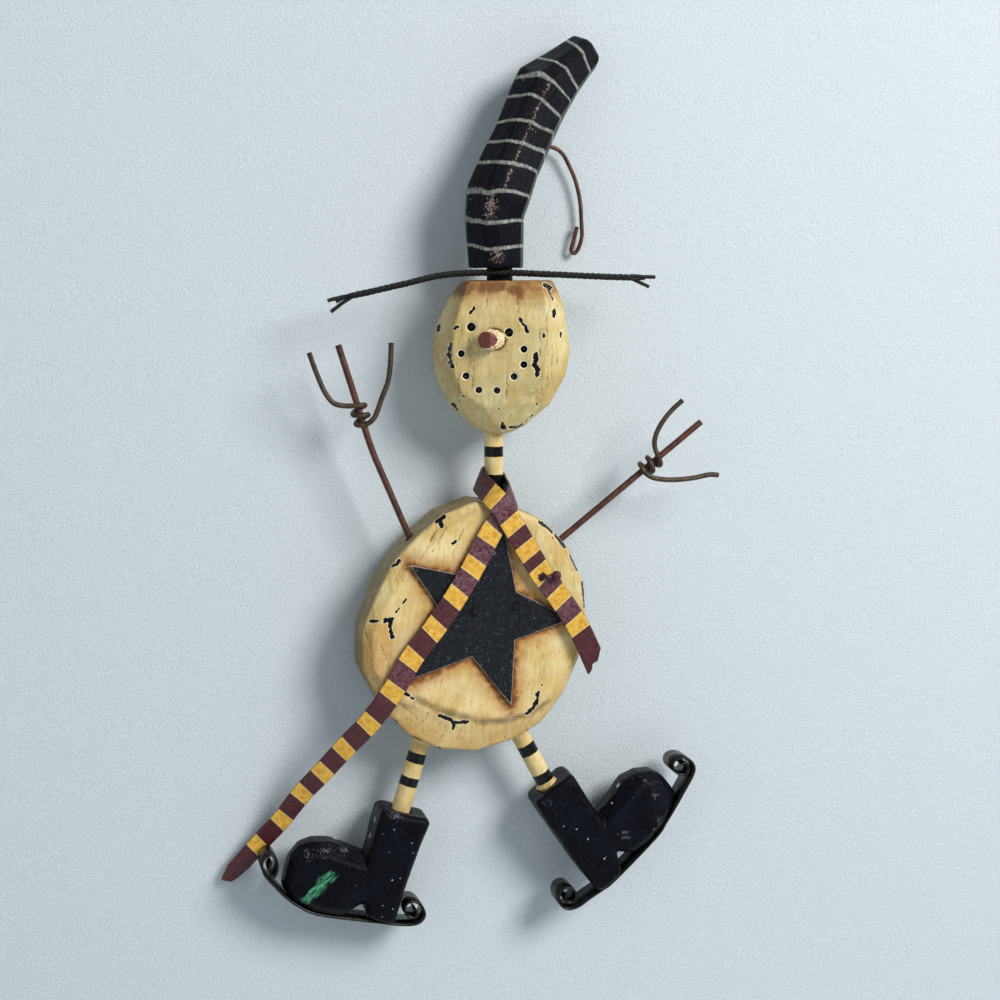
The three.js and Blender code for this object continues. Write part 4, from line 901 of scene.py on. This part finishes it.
def scarf_frames():
    """The scarf's middle line, how far along it each point is, and its across and outward directions."""
    star_low, _ = mm_box("star")
    neck_low, neck_high = mm_box("neck_dowel")
    neck_x = (neck_low[0] + neck_high[0]) / 2
    neck_z = neck_low[2] + 9 - seat
    long_y = star_low[1] - seat - strip_thickness / 2
    short_y = long_y - strip_thickness - seat
    short_tail = [(30.1, -11.5), (24.7, 0), (18.8, 9), (15.5, 13.4), (11.3, 20.4), (8, 26), (4.8, 31)]
    # The turn round the neck: place from the neck's axis and foot, where it faces and how far up it looks
    turn = [
        (-3.1, -6.6, 3.5, -118, 12), (-4.2, -1.5, 5.5, -172, 22), (-2.7, 3, 5.9, -222, 22),
        (0.2, 4.4, 5.5, -270, 22), (2.9, 2.8, 4.7, -322, 20), (3.7, -1.6, 3.4, -368, 20),
        (3.2, -6.4, 1.9, -404, 10), (1.2, -9.1, -1.2, -438, 0),
    ]
    on_star = [(3.2, 24.4), (-0.7, 17.1), (-5, 9.8), (-10.4, 1.9), (-16.9, -6.4)]
    long_tail = [
        (-21.9, -9.2, -14.8), (-27.3, -7, -22.7), (-33.1, -4.6, -29.3), (-38.1, -1.8, -35.6),
        (-42.9, 1.1, -41.5), (-47.7, 3.8, -48.5), (-53.6, 5.9, -55.4), (-61.8, 6.8, -64.5),
    ]
    stops = [(x, short_y, z, -90, 0) for x, z in short_tail]
    stops += [(neck_x + x, y, neck_z + z, faces, up) for x, y, z, faces, up in turn]
    stops += [(x, long_y, z, -450, 0) for x, z in on_star]
    stops += [(x, y, z, -450, 0) for x, y, z in long_tail]
    stops = np.array(stops)
    middle = bent(stops[:, :3], step=0)
    place = np.arange(len(middle)) / bend_steps
    looks = np.radians([np.interp(place, np.arange(len(stops)), stops[:, axis]) for axis in (3, 4)])
    out = np.stack((np.cos(looks[0]), np.sin(looks[0]), np.tan(looks[1])), axis=1)
    along = unit(np.gradient(middle, axis=0))
    across = unit(np.cross(out, along))
    return travel(middle), middle, across, np.cross(along, across)


def make_scarf():
    length, middle, across, out = scarf_frames()
    total = length[-1]
    # Where the snips ended the tails: how far past the tip, at places across
    short_end = [(-2.7, -4.9), (-0.9, -2.4), (0.9, -2.2), (1.2, -1.1), (3.2, 0)]
    long_end = [(-2.4, -6.9), (-1.7, -2.5), (-1.2, -1.0), (1.2, 0.3), (2.2, -3.7)]
    snipped_short, snipped_long = 8, 10
    columns = 17
    rows = int(total / 0.55)
    spread = np.linspace(-1, 1, columns)
    sheets = []
    marks = {"band": [], "band_lip": [], "edge": [], "inside": []}
    glare = []
    # How much painted glare lies on the maroon, at places along the strip
    glare_at = (0, 13, 17, 22, 26, 31, 41, 45, 52, 56, 80, 84, 109, 112, 130, 133, 140, 144, 205)
    glare_share = (0, 0, 0.9, 0.8, 0.5, 0.1, 0.1, 0.9, 0.8, 0.05, 0.1, 0.8, 0.9, 0.1, 0.1, 0.8, 0.5, 0.05, 0.05)
    # Middles of the mustard bands along the strip, and their half widths at some places
    bands = np.array((
        13, 21.6, 29.2, 36, 43.5, 52, 66.8, 75.3, 93.7, 102.5, 111.1, 120.4, 129.6, 138.9, 149, 158.1,
        166.6, 174.7, 183.7, 193,
    ))
    half_at, halves = (0, 20, 60, 95, 140, 155), (1.6, 1.8, 1.65, 1.8, 1.75, 1.65)
    # The nail goes through the short tail, which ends before this place along the strip.
    brad_x, brad_z, tail_end = 15.6, 12.6, 34
    for layer in (-1, 1):
        for k in range(rows + 1):
            even = total * k / rows
            for share in spread:
                width = np.interp(even / total, (0.72, 1), (5.6, 4.6))
                b = share * width / 2
                s = even
                if even < snipped_short:
                    first = -np.interp(b, *zip(*short_end))
                    s = first + even * (snipped_short - first) / snipped_short
                if even > total - snipped_long:
                    past = np.interp(-b, *zip(*long_end)) + snipped_long
                    s = total - snipped_long + (even - total + snipped_long) * past / snipped_long
                where, side, face = [
                    np.array([np.interp(s, length, values[:, axis]) for axis in range(3)])
                    for values in (middle, across, out)
                ]
                # The sheet is thinner at its cut edges, and wavy except where the nail holds it.
                lift = strip_thickness / 2 - 0.08 * (abs(share) > 0.99)
                wave = 0.1 * noise.noise(Vector(where * 0.28 + side * b * 0.2)) if s > 24 or s < 8 else 0.0
                point = where + side * b + face * (layer * lift + wave)
                to_brad = np.hypot(point[0] - brad_x, point[2] - brad_z) if s < tail_end else outside
                # The bands lean a little, the other way on the long tail.
                skew = 0.14 * b * (1 if s < 60 else -1)
                inside = np.interp(s, half_at, halves) - abs(s + skew - bands).min()
                marks["band"].append(inside if layer > 0 or abs(share) > 0.97 else -outside)
                marks["band_lip"].append(inside + 0.16 if layer > 0 else -outside)
                # Round the nail the strip is painted dark.
                marks["edge"].append(0.06 - (width / 2 - abs(b)) if to_brad > 1.3 else 1.4 - to_brad)
                marks["inside"].append(0.5 - 1.2 * (abs(share) > 0.95) if layer < 0 else -1)
                glare.append(np.interp(s, glare_at, glare_share) if layer > 0 else 0)
                sheets.append(point)
    count = (rows + 1) * columns
    faces = []
    for k in range(rows):
        for j in range(columns - 1):
            a, b = k * columns + j, k * columns + j + 1
            faces.append((a, b, b + columns, a + columns))
            faces.append((count + a, count + a + columns, count + b + columns, count + b))
        for a in (k * columns, (k + 1) * columns - 1):
            faces.append((a, a + columns, count + a + columns, count + a))
    for a in (*range(columns - 1), *range(rows * columns, count - 1)):
        faces.append((a, a + 1, count + a + 1, count + a))
    mesh = new_mesh("scarf", sheets, faces)
    fix_facing(mesh)
    for name, values in marks.items():
        outline(mesh, name, values)
    mark(mesh, "glare", glare)
    show("scarf_strip", mesh, "snowman", "banded_painted_tin", enamel, "scarf")
    mesh.set_sharp_from_angle(angle=math.radians(55))


def make_scarf_brad():
    mesh, points, _ = worn_mesh("scarf_brad", voxel=0.13, dents=0.12, dent_size=0.8, seed=51)
    write_points(mesh, points)
    low, _ = mm_box("scarf_brad")
    # The left part of the brad is painted dark, in the colour of the strip's cut edges.
    outline(mesh, "edge", np.where(points[:, 0] < low[0] + 1.2, 0.2, -0.4))
    for name in ("band", "band_lip", "inside"):
        outline(mesh, name, np.full(len(points), -1.0))
    show("scarf_brad_bent", mesh, "snowman", "banded_painted_tin", enamel, "scarf_brad")


def make_arm(side, lower, upper, bend, coil_at, upper_finger, lower_finger):
    """An arm's wire and its wound hand, laid out from the joint's place and axis as in the CAD model."""
    swivel = side + "_arm_swivel"
    foot = joint_place(swivel)
    up = np.array(joints[swivel]["axis"])
    right = np.array((up[2], 0, -up[0]))
    turn = math.radians(bend)
    bent_up = up * math.cos(turn) + right * math.sin(turn)
    bent_right = right * math.cos(turn) - up * math.sin(turn)
    elbow = foot + up * lower
    run = [
        foot + up * (seat - 10), foot + up * lower * 0.5, elbow - up * 1.5, elbow + bent_up * 1.5,
        elbow + bent_up * upper * 0.6, elbow + bent_up * upper,
    ]
    wire = tube(bent(run), arm_wire / 2, wobble=0.035, seed=61)
    show(side + "_arm_rod", wire, side + "_arm", "rusty_wire", arm_rust, side + "_arm_wire")
    radius = (arm_wire + hand_wire) / 2 + seat
    spots = [elbow + bent_right * x + bent_up * z - backward * radius for x, z in upper_finger]
    per_turn, windings, pitch = 16, 2, 2.5
    for i in range(per_turn * windings + 1):
        around = 2 * math.pi * i / per_turn
        across = bent_right * math.sin(around) * radius - backward * math.cos(around) * radius
        spots.append(elbow + across + bent_up * (coil_at - pitch * i / per_turn))
    spots += [elbow + bent_right * x + bent_up * z - backward * radius for x, z in lower_finger]
    fingers = tube(bent(spots, 0.4), hand_wire / 2, wobble=0.035, seed=62)
    show(side + "_hand_wound", fingers, side + "_arm", "rusty_wire", hand_rust, side + "_hand_wire")


def make_hook():
    mouth = joint_place("hanger_swivel")
    bends = [
        (2.6, 0.9), (6, 1.7), (9.2, 1.5), (11.5, 0.1), (13.2, -2.7), (15, -6.7), (16.2, -11.7),
        (16.6, -17), (16.7, -20.8), (15.7, -23.9), (14.7, -24.9), (14, -24), (14.4, -22.3), (15.5, -18.2),
    ]
    # How far behind the hat the wire runs
    off = 2.2
    spots = [(0, seat - 4.8, 0), (0, -2.5, 0), (0, off * 0.35, 0), (0.7, off * 0.85, 0.3)]
    spots += [(x, off, z) for x, z in bends]
    wire = tube(bent([mouth + np.array(spot) for spot in spots], 0.35), hook_wire / 2, wobble=0.04, seed=71)
    show("hanging_hook", wire, "hanger", "rusty_wire", hook_rust, "hanger_hook")


def make_brim():
    peg_low, peg_high = mm_box("hat_peg")
    crown_low, _ = mm_box("hat_crown")
    middle = np.array((
        (peg_low[0] + peg_high[0]) / 2, -(hat_peg + brim_cord) / 2 - seat,
        crown_low[2] - seat - brim_cord / 2,
    ))
    bends = [
        (-38.5, -5.7), (-34.6, -4.9), (-25.1, -2.8), (-15, -0.6), (-2.1, 0), (12.7, -0.5), (26.2, -1.1),
        (33.1, -1.3),
    ]
    left_tips = [(-43.2, -6.6), (-42.4, -9.3), (-41.2, -6.9)]
    right_tips = [(38.5, -1.2), (37, -3.6), (35.9, -1.5)]
    # The strands' radius, how far from the cord's middle they lie, and the length of one turn
    strand_radius, offset, lay = 0.47, 0.37, 4.2
    step = 0.35
    line = bent([middle + np.array((x, 0, z)) for x, z in bends], step)
    upward = unit(np.cross(unit(np.gradient(line, axis=0)), backward))
    if upward[0, 2] < 0:
        upward = -upward
    whole = bmesh.new()
    ends = []
    for strand, tips in enumerate(zip(left_tips, right_tips)):
        turn = 2 * math.pi * (np.arange(len(line)) * step / lay + strand / 3)
        path = line + offset * (np.cos(turn)[:, None] * upward + np.sin(turn)[:, None] * backward)
        left, right = [middle + np.array((x, 0.2 * (strand - 1), z)) for x, z in tips]
        splayed = (left + path[3]) / 2 + (0, 0, 0.15)
        path = bent([left, splayed, *path[3:-3:2], (right + path[-4]) / 2, right], step)
        mesh = tube(path, strand_radius, wobble=0.14, seed=80 + strand, sides=10)
        values = np.empty(len(mesh.vertices), np.float32)
        mesh.attributes["from_end"].data.foreach_get("value", values)
        mesh.attributes.remove(mesh.attributes["from_end"])
        ends.append(values)
        whole.from_mesh(mesh)
        bpy.data.meshes.remove(mesh)
    mesh = close_shell(whole, "brim")
    mark(mesh, "from_end", np.concatenate(ends))
    show("hat_brim_twisted", mesh, "snowman", "twisted_dark_wire", strand_black, "hat_brim")


def make_collar(name, spot, axis, outer, height, seed, inner=2.45):
    """A rounded fillet of glue and paint round a dowel where it enters a hole."""
    axis = unit(axis)
    side = unit(np.cross(axis, backward))
    other = np.cross(axis, side)
    # Its section, as a radius in mm and a share of its height
    profile = [
        (outer, 0), (outer - 0.1, 0.25), ((inner + outer) / 2, 0.55), (inner + 0.12, 1),
        (inner - 0.3, 1.02),
        (inner - 0.3, 0),
    ]
    turns = 40
    points = []
    for k in range(turns):
        turn = 2 * math.pi * k / turns
        spoke = side * math.cos(turn) + other * math.sin(turn)
        uneven = 1 + 0.25 * noise.noise(Vector(spoke * 1.6 + np.full(3, seed * 3.1)))
        for radius, rise in profile:
            grown = inner + (radius - inner) * uneven if radius > inner else radius
            points.append(spot + spoke * grown - axis * rise * height * uneven)
    steps = len(profile)
    faces = []
    for k in range(turns):
        for j in range(steps):
            a, b = k * steps + j, k * steps + (j + 1) % steps
            after = (k + 1) % turns * steps
            faces.append((a, b, after + (j + 1) % steps, after + j))
    mesh = new_mesh(name, points, faces)
    fix_facing(mesh)
    show(name, mesh, "snowman", "cream_painted_wood", glue)


def dress_kept_nodes():
    kept = {"hat_peg": boot_paint}
    for side in ("left", "right"):
        kept["star_brad_" + side] = crinkle
        for end in ("heel", "toe"):
            kept[side + "_blade_brad_" + end] = japan
    for node, material in kept.items():
        for slot in nodes[node].material_slots:
            slot.material = material


def make_pieces():
    make_body()
    make_head()
    make_dowel("neck_dowel", [(-5.3, -2.7), (1.7, 8)], 5)
    left_middle, left_axis = make_dowel("left_leg_dowel", [(-5.6, -3), (0.8, 3.1)], 6)
    right_middle, right_axis = make_dowel("right_leg_dowel", [(-4, -1.1), (4.6, 7.3)], 7)
    make_crown()
    for side, seed in (("left", 14), ("right", 17)):
        make_boot(side, seed)
    make_nose()
    make_star()
    make_scarf()
    make_scarf_brad()
    for side in ("left", "right"):
        make_blade(side)
    make_arm(
        "left", lower=23.4, upper=27, bend=5.5, coil_at=11.7,
        upper_finger=[(-7.5, 27.6), (-7.3, 22), (-6.7, 16.9), (-5.6, 14.2), (-3.7, 12.9)],
        lower_finger=[(2.4, 7.4), (4, 9), (5.8, 11.4), (8.6, 14.9), (10.4, 18.6), (12.3, 23.7)],
    )
    make_arm(
        "right", lower=30.2, upper=16.9, bend=0, coil_at=2.3,
        upper_finger=[(-7.9, 16.1), (-7.7, 12.6), (-7, 9), (-5.5, 5.5), (-3.6, 3.5)],
        lower_finger=[(2.4, -2), (4.7, -0.1), (7.1, 2.7), (9.7, 6.6), (11.7, 10.3), (13.2, 11.9)],
    )
    make_hook()
    make_brim()
    make_collar("right_boot_glue", right_middle + right_axis * 8.3, right_axis, outer=2.95, height=0.6, seed=2)
    make_collar("right_leg_glue", right_middle - right_axis * 8.2, -right_axis, outer=3.2, height=1.2, seed=4)
    make_collar("left_leg_glue", left_middle - left_axis * 9.1, -left_axis, outer=2.9, height=0.8, seed=6)
    dress_kept_nodes()


# Camera, lamps and backdrop


def set_camera():
    azimuth, elevation = math.radians(-13), math.radians(7)
    back = Vector((
        math.sin(azimuth) * math.cos(elevation),
        -math.cos(azimuth) * math.cos(elevation),
        math.sin(elevation),
    ))
    camera = bpy.data.objects.new("camera", bpy.data.cameras.new("camera"))
    bpy.context.scene.collection.objects.link(camera)
    camera.location = at(-103.86, -481.52, 91.33)
    camera.rotation_euler = (-back).to_track_quat("-Z", "Y").to_euler()
    camera.data.sensor_width = 36
    camera.data.lens = 72
    camera.data.clip_start = 0.01
    bpy.context.scene.camera = camera


def area_light(name, location, target, size, power, colour=(1, 1, 1)):
    data = bpy.data.lights.new(name, "AREA")
    data.shape = "DISK"
    data.size = size
    data.energy = power
    data.color = colour
    light = bpy.data.objects.new(name, data)
    light.location = location
    light.rotation_euler = (Vector(target) - Vector(location)).to_track_quat("-Z", "Y").to_euler()
    bpy.context.scene.collection.objects.link(light)


def set_stage():
    top = at(0, 24, 420)
    foot = at(0, 6.8, -150)
    floor = foot.z - 0.12
    corners = [
        (-1.2, top.y, top.z), (1.2, top.y, top.z), (1.2, foot.y, foot.z), (-1.2, foot.y, foot.z),
        (1.2, foot.y - 0.12, floor), (-1.2, foot.y - 0.12, floor), (1.2, -1.5, floor),
        (-1.2, -1.5, floor),
    ]
    mesh = bpy.data.meshes.new("backdrop")
    mesh.from_pydata(corners, [], [(0, 1, 2, 3), (3, 2, 4, 5), (5, 4, 6, 7)])
    backdrop = bpy.data.objects.new("backdrop", mesh)
    bpy.context.scene.collection.objects.link(backdrop)
    # Matt card, a little mottled, in a cool near-white that lets the dark outline stand out
    material, tree, place = start("pale card backdrop")
    weave = add(tree, "TexNoise", [place, 1.9, 4, 0.75])
    colour = layered(tree, "#BEC9CF", ("#E4EBEF", weave))
    mesh.materials.append(surface(material, colour, 0.9, [(weave, 0.4)]))
    area_light("key", at(480, -640, 480), at(0, 0, 20), 0.42, 8.6, (1, 0.985, 0.96))
    area_light("fill", at(-420, -460, 120), at(0, 0, 0), 0.5, 0.45, (0.93, 0.97, 1))
    world = bpy.data.worlds.new("studio")
    world.use_nodes = True
    sky = {"Color": (0.86, 0.93, 1, 1), "Strength": 0.3}
    plug(world.node_tree, world.node_tree.nodes["Background"], sky)
    bpy.context.scene.world = world
    bpy.context.scene.view_settings.view_transform = "Standard"


set_camera()
make_pieces()
set_stage()
